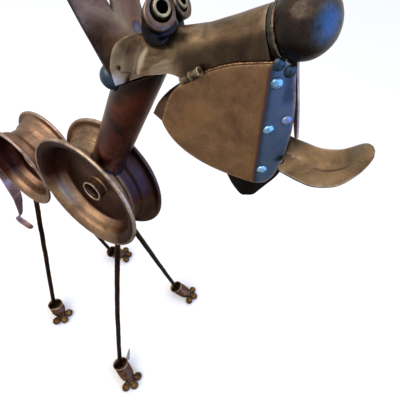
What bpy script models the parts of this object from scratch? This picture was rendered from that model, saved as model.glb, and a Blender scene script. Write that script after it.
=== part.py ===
"""Scrap metal dog: a standing dog welded from two wheel rims, pipe, rod and sheet steel.

Metres, +Z up. The dog faces +X and stands on z = 0, its middle at x = y = 0.
"""
import math

import bmesh
import bpy
from mathutils import Matrix, Vector

# Driving dimensions of the whole dog
weldGap = 0.0003
frontRimRadius = 0.119
frontRimHalfWidth = 0.0400
rearRimRadius = 0.093
rearRimHalfWidth = 0.0452
axleHeight = 0.635
rimLineDrop = math.radians(13.8)
rimWall = 0.003
rimSegments = 30

neckRadius = 0.027
neckWall = 0.003
neckFoot = Vector((0.039, 0.0, 0.727))
neckTop = Vector((0.1065, 0.0, 0.8828))
neckMitreDrop = 0.0088

headPitch = math.radians(28.3)
muzzleStart = Vector((0.1131, 0.0, 0.9013))
muzzleRadius = 0.021
muzzleLength = 0.160
sheet = 0.0022
noseRadius = 0.0272
noseAlong = 0.1835
noseRise = 0.0010

rodRadius = 0.006
toeRadius = 0.0117
rivetRadius = 0.0054

steelBrown = (0.16, 0.095, 0.06, 1.0)
steelDark = (0.045, 0.028, 0.022, 1.0)
steelTan = (0.22, 0.15, 0.09, 1.0)
steelOlive = (0.17, 0.13, 0.08, 1.0)
steelBlue = (0.10, 0.14, 0.22, 1.0)

frontAxle = Vector((0.0, -0.0008, axleHeight))
rimSpacing = frontRimRadius + rearRimRadius + weldGap
rearAxle = frontAxle - rimSpacing * Vector((math.cos(rimLineDrop), 0.0, math.sin(rimLineDrop)))
rearAxle.y = 0.0035
headForward = Vector((math.cos(headPitch), 0.0, math.sin(headPitch)))
headUp = Vector((-math.sin(headPitch), 0.0, math.cos(headPitch)))


def clearScene():
    for old in list(bpy.data.objects):
        bpy.data.objects.remove(old, do_unlink=True)


def metal(name, colour, roughness):
    material = bpy.data.materials.new(name)
    material.use_nodes = True
    shader = material.node_tree.nodes["Principled BSDF"]
    shader.inputs["Base Color"].default_value = colour
    shader.inputs["Metallic"].default_value = 1.0
    shader.inputs["Roughness"].default_value = roughness
    return material


def headPoint(along, side, up):
    """A point in the head's own frame: along the muzzle, to the left, and up from its axis."""
    return muzzleStart + along * headForward + Vector((0.0, side, 0.0)) + up * headUp


def addObject(name, bm, colour, roughness, smooth=True):
    """Turns a bmesh into a named object with a material of its own."""
    bmesh.ops.recalc_face_normals(bm, faces=bm.faces)
    mesh = bpy.data.meshes.new(name)
    bm.to_mesh(mesh)
    bm.free()
    if smooth:
        mesh.shade_smooth()
        mesh.set_sharp_from_angle(angle=math.radians(35))
    mesh.materials.append(metal(name + "_steel", colour, roughness))
    obj = bpy.data.objects.new(name, mesh)
    bpy.context.scene.collection.objects.link(obj)
    obj.parent = dog
    return obj


def frameAlong(direction, sideways=Vector((0.0, 1.0, 0.0))):
    """Two unit vectors square to a direction, the first as near as can be to sideways."""
    axis = direction.normalized()
    if abs(axis.dot(sideways)) > 0.99:
        sideways = Vector((1.0, 0.0, 0.0))
    first = (sideways - axis * sideways.dot(axis)).normalized()
    return first, axis.cross(first)


def loft(bm, rings, closedEnds=True):
    """Joins rings of points, each of the same count, into one skin."""
    loops = [[bm.verts.new(p) for p in ring] for ring in rings]
    count = len(loops[0])
    for a, b in zip(loops, loops[1:]):
        for i in range(count):
            j = (i + 1) % count
            bm.faces.new((a[i], a[j], b[j], b[i]))
    if closedEnds:
        bm.faces.new(loops[0])
        bm.faces.new(loops[-1][::-1])
    return loops


def circle(centre, first, second, radius, sides):
    step = 2 * math.pi / sides
    return [centre + radius * (math.cos(i * step) * first + math.sin(i * step) * second)
            for i in range(sides)]


def turned(bm, profile, centre, axis, sides):
    """Spins a closed outline of (radius, distance along the axis) about that axis."""
    first, second = frameAlong(axis)
    axis = axis.normalized()
    spokes = []
    for i in range(sides):
        angle = 2 * math.pi * i / sides
        out = math.cos(angle) * first + math.sin(angle) * second
        spokes.append([bm.verts.new(centre + r * out + a * axis) for r, a in profile])
    count = len(profile)
    for i in range(sides):
        here, after = spokes[i], spokes[(i + 1) % sides]
        for k in range(count):
            m = (k + 1) % count
            bm.faces.new((here[k], here[m], after[m], after[k]))


def rod(bm, points, radius, sides):
    """A round bar through a few points, its ends cut square."""
    rings = []
    for i, point in enumerate(points):
        before = points[max(i - 1, 0)]
        after = points[min(i + 1, len(points) - 1)]
        first, second = frameAlong(after - before)
        rings.append(circle(point, first, second, radius, sides))
    loft(bm, rings)


def bezier(ends, controls, count):
    """Points of a cubic curve, both ends included."""
    a, d = ends
    b, c = controls
    points = []
    for i in range(count + 1):
        t = i / count
        u = 1 - t
        points.append(tuple(u**3 * p + 3 * u * u * t * q + 3 * u * t * t * r + t**3 * s
                            for p, q, r, s in zip(a, b, c, d)))
    return points


def thicken(bm, thickness, outward):
    """Gives an open surface its thickness, grown inward from the face that looks outward."""
    bmesh.ops.recalc_face_normals(bm, faces=bm.faces)
    if sum(f.normal.dot(outward) * f.calc_area() for f in bm.faces) < 0:
        bmesh.ops.reverse_faces(bm, faces=bm.faces)
    bmesh.ops.solidify(bm, geom=bm.faces[:], thickness=thickness)


def extruded(bm, outline, shift):
    """A flat plate: a closed outline of 3-D points carried along a shift."""
    front = [bm.verts.new(p) for p in outline]
    back = [bm.verts.new(Vector(p) + shift) for p in outline]
    bm.faces.new(front)
    bm.faces.new(back[::-1])
    count = len(outline)
    for i in range(count):
        j = (i + 1) % count
        bm.faces.new((front[j], front[i], back[i], back[j]))


# Wheel rims: pressed halves back to back, with a rolled lip, a bead seat, a well and a hub tube
lipRadius = 0.0035
valleyShape = ((0.744, 0.27), (0.800, 0.36), (0.832, 0.74), (0.885, 0.86))
discHalf = 0.0025
hubRadius = 0.0210
hubBore = 0.0165
hubReach = 0.021
rearHubBore = 0.01485
rearHubReach = 0.010
lipDegrees = (-100, -15, 60, 130)
innerRise = 0.4
dishShoulder = 0.2


def valleyRadius(rimRadius, halfWidth, side):
    """Radius of the outer skin between the flanges at a distance from the rim's middle."""
    across = abs(side) / halfWidth
    last = (valleyShape[0][0], 0.0)
    for radius, place in valleyShape:
        if across <= place:
            part = (across - last[1]) / (place - last[1])
            return rimRadius * (last[0] + part * (radius - last[0]))
        last = (radius, place)
    return rimRadius * valleyShape[-1][0]


def rimHalf(rimRadius, halfWidth, bore, reach):
    """Half of a rim's outline: the valley side, the lip, then the dish side down to the bore."""
    outer = [(rimRadius * r, halfWidth * a) for r, a in valleyShape]
    lipCentre = (rimRadius - lipRadius, halfWidth - lipRadius)
    lip = []
    for degrees in lipDegrees:
        angle = math.radians(degrees)
        lip.append((lipCentre[0] + lipRadius * math.cos(angle),
                    lipCentre[1] + lipRadius * math.sin(angle)))
    inner = [(r - rimWall, a + innerRise * rimWall) for r, a in outer[::-1]]
    inner[0] = (outer[-1][0] - dishShoulder * rimWall, outer[-1][1] + rimWall)
    inner[-1] = (outer[0][0] - rimWall, outer[0][1])
    hub = [(inner[-1][0], discHalf), (hubRadius, discHalf), (hubRadius, reach), (bore, reach)]
    return outer + lip + inner + hub


def makeRim(name, rimRadius, halfWidth, centre, bore, reach):
    half = rimHalf(rimRadius, halfWidth, bore, reach)
    otherHalf = [(r, -a) for r, a in half[::-1]]
    bm = bmesh.new()
    turned(bm, half + otherHalf, centre, Vector((0.0, 1.0, 0.0)), rimSegments)
    addObject(name, bm, steelTan, 0.4)


# Neck: a pipe coped to the front rim's well and mitred under the skull
neckSides = 24
copeSpread = 0.0035
copeLift = 0.0006
napeClearance = 0.0008


def makeNeck():
    axis = (neckTop - neckFoot).normalized()
    first, second = frameAlong(axis)
    mitre = headPoint(0.0, 0.0, -neckMitreDrop)
    outer, inner = [], []
    for radius, ends in ((neckRadius, outer), (neckRadius - neckWall, inner)):
        foot, top = [], []
        for start in circle(neckFoot, first, second, radius, neckSides):
            reach = max(valleyRadius(frontRimRadius, frontRimHalfWidth, abs(start.y) + copeSpread),
                        valleyRadius(frontRimRadius, frontRimHalfWidth, start.y)) + weldGap
            offset = start - frontAxle
            offset.y = 0.0
            along = offset.dot(axis)
            square = offset.length_squared - along * along
            foot.append(start + (math.sqrt(reach * reach - square) - along + copeLift) * axis)
            lift = (mitre - start).dot(headUp) / axis.dot(headUp)
            toRoll = napeCentre - start
            toRoll.y = 0.0
            middle = toRoll.dot(axis)
            reach = napeRadius + napeClearance
            aside = toRoll.length_squared - middle * middle
            if aside < reach * reach:
                lift = min(lift, middle - math.sqrt(reach * reach - aside))
            top.append(start + lift * axis)
        ends.extend((foot, top))
    bm = bmesh.new()
    loft(bm, [outer[0], outer[1], inner[1], inner[0], outer[0]], closedEnds=False)
    bmesh.ops.remove_doubles(bm, verts=bm.verts, dist=0.00001)
    addObject("neck_pipe", bm, steelBrown, 0.35)


# Muzzle: one rolled sheet, an arch open below, its rear end beaten out into two side lobes
muzzleAcross = 14
muzzleStations = 9
flareStations = 2
crownRise = 0.15
crownReach = 0.100
crownLimit = 0.065
archShare = 0.7
stationCrowding = 1.2
# Rear edge from the crown down one side: share of the half sheet, then along, side, up and
# the length over which the sheet flares out to it
rearEdge = ((0.0, 0.0367, 0.0, 0.0305, 0.0040), (0.15, 0.0345, 0.0110, 0.0305, 0.0045),
            (0.28, 0.0290, 0.0215, 0.0322, 0.0052), (0.40, 0.0185, 0.0300, 0.0325, 0.0084),
            (0.50, 0.0095, 0.0352, 0.0292, 0.0112), (0.60, 0.0000, 0.0371, 0.0210, 0.0121),
            (0.70, -0.0066, 0.0375, 0.0120, 0.0101), (0.85, -0.0100, 0.0375, 0.0030, 0.0083),
            (1.0, -0.0112, 0.0372, -0.0068, 0.0050))
# Free lower edge: along the muzzle, and its height
lowerEdge = ((0.050, -0.0085), (0.085, -0.0205), (muzzleLength, -0.0160))


def between(table, place):
    """Reads a table of (place, value, ...) rows at a place, straight from row to row."""
    if place <= table[0][0]:
        return table[0][1:]
    for a, b in zip(table, table[1:]):
        if place <= b[0]:
            part = (place - a[0]) / (b[0] - a[0])
            return tuple(p + part * (q - p) for p, q in zip(a[1:], b[1:]))
    return table[-1][1:]


def crownHeight(along):
    return muzzleRadius + crownRise * min(crownLimit, max(0.0, crownReach - along))


def muzzlePoint(around, station):
    """Point of the sheet's outer face: around -1..1 edge to edge, stations rear to front."""
    turn = abs(around)
    rear, edgeSide, edgeUp, flare = between(rearEdge, turn)
    if station <= flareStations:
        along = rear + flare * station / flareStations
    else:
        ahead = (station - flareStations) / (muzzleStations - flareStations)
        along = rear + flare + (muzzleLength - rear - flare) * ahead**stationCrowding
    if turn < archShare:
        angle = turn / archShare * math.pi / 2
        side = muzzleRadius * math.sin(angle)
        up = crownHeight(along) * math.cos(angle)
    else:
        side = muzzleRadius
        up = between(lowerEdge, along)[0] * (turn - archShare) / (1.0 - archShare)
    share = max(0.0, 1.0 - (along - rear) / flare)
    side += share * (edgeSide - side)
    up += share * (edgeUp - up)
    return headPoint(along, math.copysign(side, around), up)


def makeMuzzle():
    bm = bmesh.new()
    grid = [[bm.verts.new(muzzlePoint(2 * i / muzzleAcross - 1, k))
             for i in range(muzzleAcross + 1)] for k in range(muzzleStations + 1)]
    for a, b in zip(grid, grid[1:]):
        for i in range(muzzleAcross):
            bm.faces.new((a[i], a[i + 1], b[i + 1], b[i]))
    thicken(bm, sheet, headUp)
    addObject("muzzle", bm, steelOlive, 0.42)


noseSides = 20
sleeveSides = 18
sleeveFoot = muzzleRadius - 0.0006
sleeveMouth = muzzleRadius + 0.0012
sleeveBore = muzzleRadius - 0.0046


def makeNose():
    """The ball, and the short sleeve that holds it in the muzzle's end."""
    bm = bmesh.new()
    centre = headPoint(noseAlong, 0.0, noseRise)
    bmesh.ops.create_uvsphere(bm, u_segments=noseSides, v_segments=noseSides // 2, radius=noseRadius,
                              matrix=Matrix.Translation(centre))
    addObject("nose_ball", bm, steelDark, 0.45)
    start = muzzleLength + weldGap
    seat = []
    for radius in (sleeveMouth, sleeveBore):
        reach = math.sqrt(noseRadius**2 - (radius - noseRise)**2)
        seat.append((radius, noseAlong - reach - 2 * weldGap))
    bm = bmesh.new()
    turned(bm, [*seat, (sleeveBore, start), (sleeveFoot, start)], headPoint(0.0, 0.0, 0.0),
           headForward, sleeveSides)
    addObject("nose_sleeve", bm, steelOlive, 0.42)


# Ears and nape: one notched sheet for both ears, and the round-ended roll that closes the nape
earLean = Vector((-0.4415, 0.0, 0.8973))
earFoot = Vector((0.1014, 0.0, 0.8958))
earBack = Vector((-0.8973, 0.0, -0.4415))
earThickness = 0.0022
earOutline = ((0.0370, 0.0), (0.0445, 0.0480), (0.0478, 0.0755), (0.0575, 0.1350), (0.0572, 0.1600),
              (0.0500, 0.1850), (0.0380, 0.1700), (0.0230, 0.1300), (0.0068, 0.0850),
              (0.0022, 0.0675))
notchBottom = 0.0617
napeRadius = 0.0150
napeHalf = 0.0350
napeCore = 0.0004
napeSides = 16
napeDegrees = (0, 30, 60, 90)
napeCentre = earFoot + (earThickness + napeRadius + weldGap) * earBack - 0.0008 * earLean


def earPoint(side, height):
    return earFoot + Vector((0.0, side, 0.0)) + height * earLean


def makeEars():
    left = [earPoint(y, h) for y, h in earOutline]
    right = [earPoint(-y, h) for y, h in earOutline[::-1]]
    bm = bmesh.new()
    extruded(bm, left + [earPoint(0.0, notchBottom)] + right, earThickness * earBack)
    bmesh.ops.triangulate(bm, faces=bm.faces)
    addObject("ears", bm, steelBrown, 0.38)


def makeNape():
    """The round-ended roll across the nape, behind the ears and over the neck."""
    profile = []
    for degrees in napeDegrees:
        angle = math.radians(degrees)
        profile.append((napeRadius * math.cos(angle),
                        napeHalf - napeRadius + napeRadius * math.sin(angle)))
    bm = bmesh.new()
    rings = []
    for radius, side in [(r, -a) for r, a in profile[::-1]] + profile:
        centre = napeCentre + Vector((0.0, side, 0.0))
        rings.append(circle(centre, Vector((1.0, 0.0, 0.0)), Vector((0.0, 0.0, 1.0)),
                            max(radius, napeCore), napeSides))
    loft(bm, rings)
    addObject("nape_roll", bm, steelBlue, 0.4)


# Eyes: a rolled band round a short tube, each pair on a stem that stands on the muzzle
# Each eye: name, side, centre and axis of its front, band radius, then the stem's foot
eyes = (
    ("right", -1, Vector((0.1567, -0.0268, 0.9716)), Vector((0.645, -0.488, 0.588)), 0.0145,
     0.0510, 0.0080, 0.0130),
    ("left", 1, Vector((0.1475, 0.0240, 0.9680)), Vector((0.840, 0.081, 0.537)), 0.0140,
     0.0452, 0.0120, 0.0072),
)
eyeDepth = 0.0115
eyeHole = 0.0098
eyeHoleShift = 0.0028
eyeTubeRadius = 0.0078
eyeBore = 0.0062
eyeTubeDepth = 0.0105
eyeTubeProud = 0.0016
eyeSides = 20
eyeTubeSides = 14
eyeLean = 0.6
stemSides = 16
stemInset = 0.002
stemHollow = 0.001
stemSoleShares = (0.35, 0.7, 1.0)
stemLift = 0.0017
stemSteepest = 0.85


def mirrored(vector, side):
    return Vector((vector.x, side * vector.y, vector.z))


def makeEye(word, side, centre, axis, radius, stemAlong, stemSide, stemRadius):
    axis = axis.normalized()
    across, down = frameAlong(axis, Vector((0.0, -eyeLean * side, 0.8)))
    hole = centre + eyeHoleShift * across
    bm = bmesh.new()
    loft(bm, [circle(centre, across, down, radius, eyeSides),
              circle(centre - eyeDepth * axis, across, down, radius, eyeSides),
              circle(hole - eyeDepth * axis, across, down, eyeHole, eyeSides),
              circle(hole, across, down, eyeHole, eyeSides),
              circle(centre, across, down, radius, eyeSides)], closedEnds=False)
    bmesh.ops.remove_doubles(bm, verts=bm.verts, dist=0.00001)
    addObject("eye_band_" + word, bm, steelBrown, 0.35)
    middle = hole + (eyeHole - eyeTubeRadius - 2 * weldGap) * across
    bm = bmesh.new()
    turned(bm, [(eyeTubeRadius, eyeTubeProud), (eyeTubeRadius, -eyeTubeDepth),
                (eyeBore, -eyeTubeDepth), (eyeBore, eyeTubeProud)], middle, axis, eyeTubeSides)
    addObject("eye_tube_" + word, bm, steelTan, 0.35)
    foot = headPoint(stemAlong, side * stemSide, 0.0)
    first, second = frameAlong(headUp)
    sole = []
    for share in stemSoleShares:
        ring = []
        for p in circle(foot, first, second, share * stemRadius, stemSides):
            local = p - muzzleStart
            bulge = math.sqrt(1 - min(stemSteepest, abs(local.y) / muzzleRadius)**2)
            ring.append(p + (crownHeight(local.dot(headForward)) * bulge + stemLift) * headUp)
        sole.append(ring)
    head = centre - (eyeDepth + weldGap) * axis
    one, two = frameAlong(axis, first)
    upper = circle(head, one, two, radius - stemInset, stemSides)
    bm = bmesh.new()
    rings = loft(bm, [*sole, upper], closedEnds=False)
    bm.faces.new(rings[-1])
    middleOfSole = bm.verts.new(sum(sole[0], Vector()) / stemSides + stemHollow * headUp)
    for i in range(stemSides):
        bm.faces.new((rings[0][i], rings[0][(i + 1) % stemSides], middleOfSole))
    addObject("eye_stem_" + word, bm, steelDark, 0.4)


# Jowls: side sheets that hang from the muzzle, their front bent in towards the middle
jowlSide = muzzleRadius + weldGap + sheet
jowlTip = (0.1583, 0.8611)
jowlTopRear = (0.1833, 0.9172)
jowlTopMiddle = (0.2248, 0.9464)
bendTop = (0.2652, 0.9623)
bendFoot = (0.2831, 0.8390)
bendTurn = math.radians(42)
rearFold = ((0.1692, 0.8984), (0.1635, 0.8825))
rearFlange = ((0.1625, 0.8981), (0.1485, 0.8787), (0.1403, 0.8602))
flangeReach = 0.008
lowerSteps = 9
tabHeight = 0.9250
bandEdge = ((0.0020, 0.9660), (0.0075, 0.9675), (0.0125, 0.9645), (0.0175, 0.9622),
            (0.0215, 0.9590), (0.0230, 0.9504), (0.0248, 0.9419), (0.0275, 0.9284),
            (0.0296, 0.9120), (0.0303, 0.8960), (0.0288, 0.8780), (0.0251, 0.8608),
            (0.0197, 0.8468), (0.0120, 0.8392))
tabEdge = ((0.0020, 0.9660), (0.0075, 0.9675), (0.0125, 0.9645), (0.0165, 0.9535), (0.0250, 0.9367),
           (0.0325, 0.9220), (0.0376, 0.9101), (0.0414, 0.8983), (0.0373, 0.8970),
           (0.0291, 0.9098), (0.0217, 0.9206), (0.0060, 0.9260))
rivetPlaces = ((0.0056, 0.9622), (0.0064, 0.9470), (0.0163, 0.9570), (0.0224, 0.9130),
               (0.0062, 0.9034), (0.0060, 0.8572))
rivetDome = ((1.0, 0.0), (0.94, 0.35), (0.55, 0.68))
rivetSides = 8


def bandPoint(across, height, side):
    """A point of the bent front, measured across it from the bend line, at a height."""
    part = (bendTop[1] - height) / (bendTop[1] - bendFoot[1])
    start = bendTop[0] + part * (bendFoot[0] - bendTop[0])
    return Vector((start + across * math.cos(bendTurn),
                   side * (jowlSide - across * math.sin(bendTurn)), height))


def makeJowl(word, side, front, wholeFront):
    """One folded sheet: flat side, narrow rear flange, and the bent front or just a torn tab."""
    lower = bezier((jowlTip, bendFoot), ((0.1760, 0.8290), (0.2220, 0.8265)), lowerSteps)
    tabPart = (bendTop[1] - tabHeight) / (bendTop[1] - bendFoot[1])
    tabStart = (bendTop[0] + tabPart * (bendFoot[0] - bendTop[0]), tabHeight)
    flat = [*lower, tabStart, bendTop, jowlTopMiddle, jowlTopRear, *rearFold]
    bm = bmesh.new()
    face = [bm.verts.new((x, side * jowlSide, z)) for x, z in flat]
    bm.faces.new(face)
    bottom, middle, top = face[lowerSteps:lowerSteps + 3]
    edge = [bm.verts.new(bandPoint(across, height, side)) for across, height in front]
    bm.faces.new([top, *edge, bottom, middle] if wholeFront else [top, *edge, middle])
    fold = face[-3:] + face[:1]
    flange = [bm.verts.new((x, side * (jowlSide - flangeReach), z)) for x, z in rearFlange]
    bm.faces.new([fold[0], fold[1], flange[0]])
    bm.faces.new([fold[1], fold[2], flange[1], flange[0]])
    bm.faces.new([fold[2], fold[3], flange[2], flange[1]])
    bmesh.ops.triangulate(bm, faces=bm.faces)
    thicken(bm, sheet, Vector((0.0, side, 0.0)))
    addObject("jowl_" + word, bm, steelBrown, 0.42, smooth=False)


def makeRivets():
    """Dome heads along the bent front of each jowl."""
    normalOut = (bandPoint(0.01, 0.90, -1) - bandPoint(0.0, 0.90, -1)).cross(
        bandPoint(0.0, 0.95, -1) - bandPoint(0.0, 0.90, -1)).normalized()
    for word, side, places in (("right", -1, rivetPlaces), ("left", 1, rivetPlaces[:2])):
        out = mirrored(normalOut, -side)
        for number, (across, height) in enumerate(places, 1):
            seat = bandPoint(across, height, side) + weldGap * out
            bm = bmesh.new()
            first, second = frameAlong(out)
            rings = []
            for radius, rise in rivetDome:
                rings.append(circle(seat + rise * rivetRadius * out, first, second,
                                    radius * rivetRadius, rivetSides))
            loft(bm, rings)
            addObject("rivet_%s_%d" % (word, number), bm, steelBlue, 0.3)


# Lower jaw, tongue and lugs
chinCurve = ((0.2436, 0.8248, 0.0120), (0.2557, 0.8128, 0.0125), (0.2691, 0.8030, 0.0125),
             (0.2764, 0.8060, 0.0125), (0.2849, 0.8131, 0.0125), (0.2946, 0.8335, 0.0082),
             (0.2996, 0.8445, 0.0040), (0.3014, 0.8530, 0.0032))
chinTop = ((0.2400, 0.8480, 0.0209), (0.2510, 0.8440, 0.0209), (0.2630, 0.8420, 0.0209),
           (0.2710, 0.8430, 0.0209), (0.2770, 0.8450, 0.0200), (0.2870, 0.8500, 0.0128),
           (0.2950, 0.8550, 0.0060), (0.2988, 0.8600, 0.0028))
tongueRoll = math.radians(38)
tongueStart = Vector((0.3000, 0.0, 0.8745))
tongueUp = ((-0.0260, 0.0034), (-0.0135, 0.0040), (-0.0105, 0.0160), (0.0053, 0.0172),
            (0.0234, 0.0176), (0.0352, 0.0203), (0.0462, 0.0255), (0.0541, 0.0325), (0.0605, 0.0390),
            (0.0650, 0.0412), (0.0695, 0.0408))
tongueMiddle = ((-0.0260, 0.0), (-0.0135, 0.0), (-0.0080, 0.0), (0.0053, 0.0), (0.0180, -0.0018),
                (0.0346, -0.0022), (0.0450, 0.0012), (0.0545, 0.0085), (0.0640, 0.0215),
                (0.0690, 0.0300), (0.0728, 0.0375))
tongueDown = ((-0.0260, -0.0034), (-0.0040, -0.0034), (0.0006, -0.0060), (0.0024, -0.0185),
              (0.0172, -0.0208), (0.0349, -0.0206), (0.0494, -0.0151), (0.0600, -0.0065),
              (0.0690, 0.0080), (0.0738, 0.0215), (0.0748, 0.0310))
creaseDepth = 0.14
tongueSheet = 0.003
lugStart = (0.1846, 0.9208)
lugSlope = math.radians(40.6)
lugClear = 0.0051
lugProfile = ((0.0, 0.0034), (0.0125, 0.0034), (0.0125, 0.0047), (0.0250, 0.0047))
lugSides = 12


def makeChin():
    bm = bmesh.new()
    rows = []
    for side, curve in ((-1, chinTop), (-1, chinCurve), (1, chinCurve), (1, chinTop)):
        rows.append([bm.verts.new((x, side * half, z)) for x, z, half in curve])
    for a, b in zip(rows, rows[1:]):
        for i in range(len(chinCurve) - 1):
            bm.faces.new((a[i], a[i + 1], b[i + 1], b[i]))
    thicken(bm, sheet, Vector((0.0, 0.0, -1.0)))
    addObject("lower_jaw", bm, steelDark, 0.5, smooth=False)


def tonguePoint(ahead, across, middle):
    wing = Vector((0.0, math.cos(tongueRoll), math.sin(tongueRoll)))
    normal = Vector((0.0, -math.sin(tongueRoll), math.cos(tongueRoll)))
    lift = creaseDepth * abs(across - middle)
    return tongueStart + Vector((ahead, 0.0, 0.0)) + across * wing + lift * normal


def makeTongue():
    bm = bmesh.new()
    rows = []
    for edge in (tongueDown, tongueMiddle, tongueUp):
        rows.append([bm.verts.new(tonguePoint(x, t, m[1]))
                     for (x, t), m in zip(edge, tongueMiddle)])
    for a, b in zip(rows, rows[1:]):
        for i in range(len(tongueMiddle) - 1):
            bm.faces.new((a[i], a[i + 1], b[i + 1], b[i]))
    thicken(bm, tongueSheet, Vector((0.0, 0.0, 1.0)))
    addObject("tongue", bm, steelTan, 0.4)


def makeLug(word, side):
    start = Vector((lugStart[0], side * (jowlSide + lugClear), lugStart[1]))
    axis = Vector((math.cos(lugSlope), 0.0, math.sin(lugSlope)))
    bm = bmesh.new()
    first, second = frameAlong(axis)
    rings = [circle(start + along * axis, first, second, radius, lugSides)
             for along, radius in lugProfile]
    loft(bm, rings)
    addObject("lug_" + word, bm, steelTan, 0.35)


# Legs and paws: rods down to tapered cups that end in a knuckle with three ball toes
legs = (
    ("front_right", -1, (0.0500, 0.0165), (0.1070, 0.1400, 0.0450), (0.1500, 0.1515), -0.0065),
    ("front_left", 1, (0.0450, 0.0165), (0.1030, 0.1590, 0.0420), (0.1490, 0.1725), -0.0030),
    ("rear_right", -1, (-0.2214, 0.0140), (-0.1960, 0.1215, 0.0450), (-0.1645, 0.1290), 0.0),
    ("rear_left", 1, (-0.2180, 0.0180), (-0.1780, 0.1350, 0.0450), (-0.1500, 0.1610), 0.0),
)
cupShift = {"rear_right": 0.0060}
cupMouth = 0.0215
cupWall = 0.0026
cupDepth = 0.014
# The cup's radius at shares of its length, ending in the knuckle
cupProfile = ((0.0, cupMouth), (0.60, 0.0210), (0.80, 0.0192), (0.93, 0.0165))
cupTilt = 0.010
cupSides = 14
rodTipDrop = 0.0018
knuckleRadius = 0.0140
knuckleHeight = 0.0150
toeFan = math.radians(58)
toeSides = 10
toeRings = 5
toeFlat = 0.0008
spurRadius = 0.0030
spurLength = 0.031
spurTurn = math.radians(15)
spurRise = Vector((-0.42, 0.80, 0.42))
legSteps = (0.0, 0.2, 0.4, 0.6, 0.8, 0.95)
rodSides = 10
rodReachStart = -0.004
rodReachStep = 0.0002
knuckleDegrees = (30, 60, 82)


def legTop(x, side, front):
    """Where a rod meets the underside of its rim's well, clear of the curved skin."""
    centre = frontAxle if front else rearAxle
    rimRadius = frontRimRadius if front else rearRimRadius
    halfWidth = frontRimHalfWidth if front else rearRimHalfWidth
    reach = valleyRadius(rimRadius, halfWidth, abs(side) + rodRadius) + weldGap
    across = max(0.0, abs(x - centre.x) - rodRadius)
    return Vector((x, side, centre.z - math.sqrt(reach**2 - across**2) - rodTipDrop))


def cupRadius(along, length):
    return between((*cupProfile, (1.0, knuckleRadius)), along / length)[0]


def makeLeg(name, top, ankle, mouth, cupAxis, length, bow):
    """A rod from the rim into its cup, stopped where its end meets the cup's inner wall."""
    bend = Vector((bow, 0.0, 0.0))
    direction = (ankle - top - 4 * bend).normalized()
    first, second = frameAlong(direction)
    reach = rodReachStart
    free = True
    while free:
        reach += rodReachStep
        for p in circle(ankle + reach * direction, first, second, rodRadius, rodSides):
            along = (p - mouth).dot(cupAxis)
            away = (p - mouth - along * cupAxis).length
            wall = cupRadius(along, length) - cupWall
            limit = wall * math.cos(math.pi / cupSides) - 2 * weldGap
            free = free and away < limit and along < cupDepth - weldGap
    bm = bmesh.new()
    points = [top + t * (ankle - top) + 4 * t * (1 - t) * bend for t in legSteps]
    rod(bm, [*points, ankle + (reach - rodReachStep) * direction], rodRadius, rodSides)
    addObject("leg_" + name, bm, steelDark, 0.45)


def makePaw(name, mouth, cupAxis, length):
    """A hollow cup, its mouth cut to face up and back, its front rounded to a knuckle."""
    across, cupUp = frameAlong(cupAxis)
    if cupUp.z < 0:
        across, cupUp = -across, -cupUp

    def ring(along, inset, tilt):
        points = []
        for i in range(cupSides):
            angle = 2 * math.pi * i / cupSides
            place = along + tilt * math.sin(angle)
            radius = cupRadius(place, length) - inset
            points.append(mouth + place * cupAxis
                          + radius * (math.cos(angle) * across + math.sin(angle) * cupUp))
        return points

    rings = [ring(cupDepth, cupWall, 0.0), ring(0.0, cupWall, cupTilt), ring(0.0, 0.0, cupTilt)]
    rings += [ring(share * length, 0.0, 0.0) for share in (0.60, 0.80, 0.93, 1.0)]
    for degrees in knuckleDegrees:
        angle = math.radians(degrees)
        rings.append(circle(mouth + (length + knuckleRadius * math.sin(angle)) * cupAxis,
                            across, cupUp, knuckleRadius * math.cos(angle), cupSides))
    bm = bmesh.new()
    loft(bm, rings)
    addObject("paw_" + name, bm, steelBrown, 0.4)


def makeToes(name, knuckle, heading):
    spread = math.sqrt((knuckleRadius + toeRadius)**2
                       - (knuckleHeight - toeRadius + toeFlat)**2)
    for number in (1, 2, 3):
        angle = heading + (number - 2) * toeFan
        spot = Vector((knuckle.x + spread * math.cos(angle),
                       knuckle.y + spread * math.sin(angle), toeRadius - toeFlat))
        bm = bmesh.new()
        bmesh.ops.create_uvsphere(bm, u_segments=toeSides, v_segments=toeRings, radius=toeRadius,
                                  matrix=Matrix.Translation(spot))
        bmesh.ops.bisect_plane(bm, geom=bm.verts[:] + bm.edges[:] + bm.faces[:],
                               plane_co=(0, 0, 0), plane_no=(0, 0, -1), clear_outer=True)
        bmesh.ops.holes_fill(bm, edges=bm.edges[:])
        addObject("toe_%s_%d" % (name, number), bm, steelDark, 0.4)


def makeSpur(mouth, cupAxis):
    """The thin thorn that stands against the inner side of the right front cup."""
    across, cupUp = frameAlong(cupAxis)
    lean = math.sin(spurTurn) * cupUp + math.cos(spurTurn) * across
    foot = mouth + 0.006 * cupAxis + (cupMouth + spurRadius) * lean
    tip = foot + spurLength * spurRise.normalized()
    first, second = frameAlong(tip - foot)
    bm = bmesh.new()
    loft(bm, [circle(foot, first, second, spurRadius, 8),
              circle(tip, first, second, 0.2 * spurRadius, 8)])
    addObject("spur", bm, steelDark, 0.4)


def makeLegs():
    for name, side, (x, y), (ankleX, ankleY, ankleZ), (knuckleX, knuckleY), bow in legs:
        top = legTop(x, side * y, name.startswith("front"))
        ankle = Vector((ankleX, side * ankleY, ankleZ))
        mouth = ankle + Vector((cupShift.get(name, 0.0), 0.0, 0.0))
        knuckle = Vector((knuckleX, side * knuckleY, knuckleHeight))
        cupAxis = (knuckle - mouth).normalized()
        length = (knuckle - mouth).length
        makeLeg(name, top, ankle, mouth, cupAxis, length, bow)
        makePaw(name, mouth, cupAxis, length)
        makeToes(name, knuckle, math.atan2(cupAxis.y, cupAxis.x))
        if name == "front_right":
            makeSpur(mouth, cupAxis)


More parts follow.
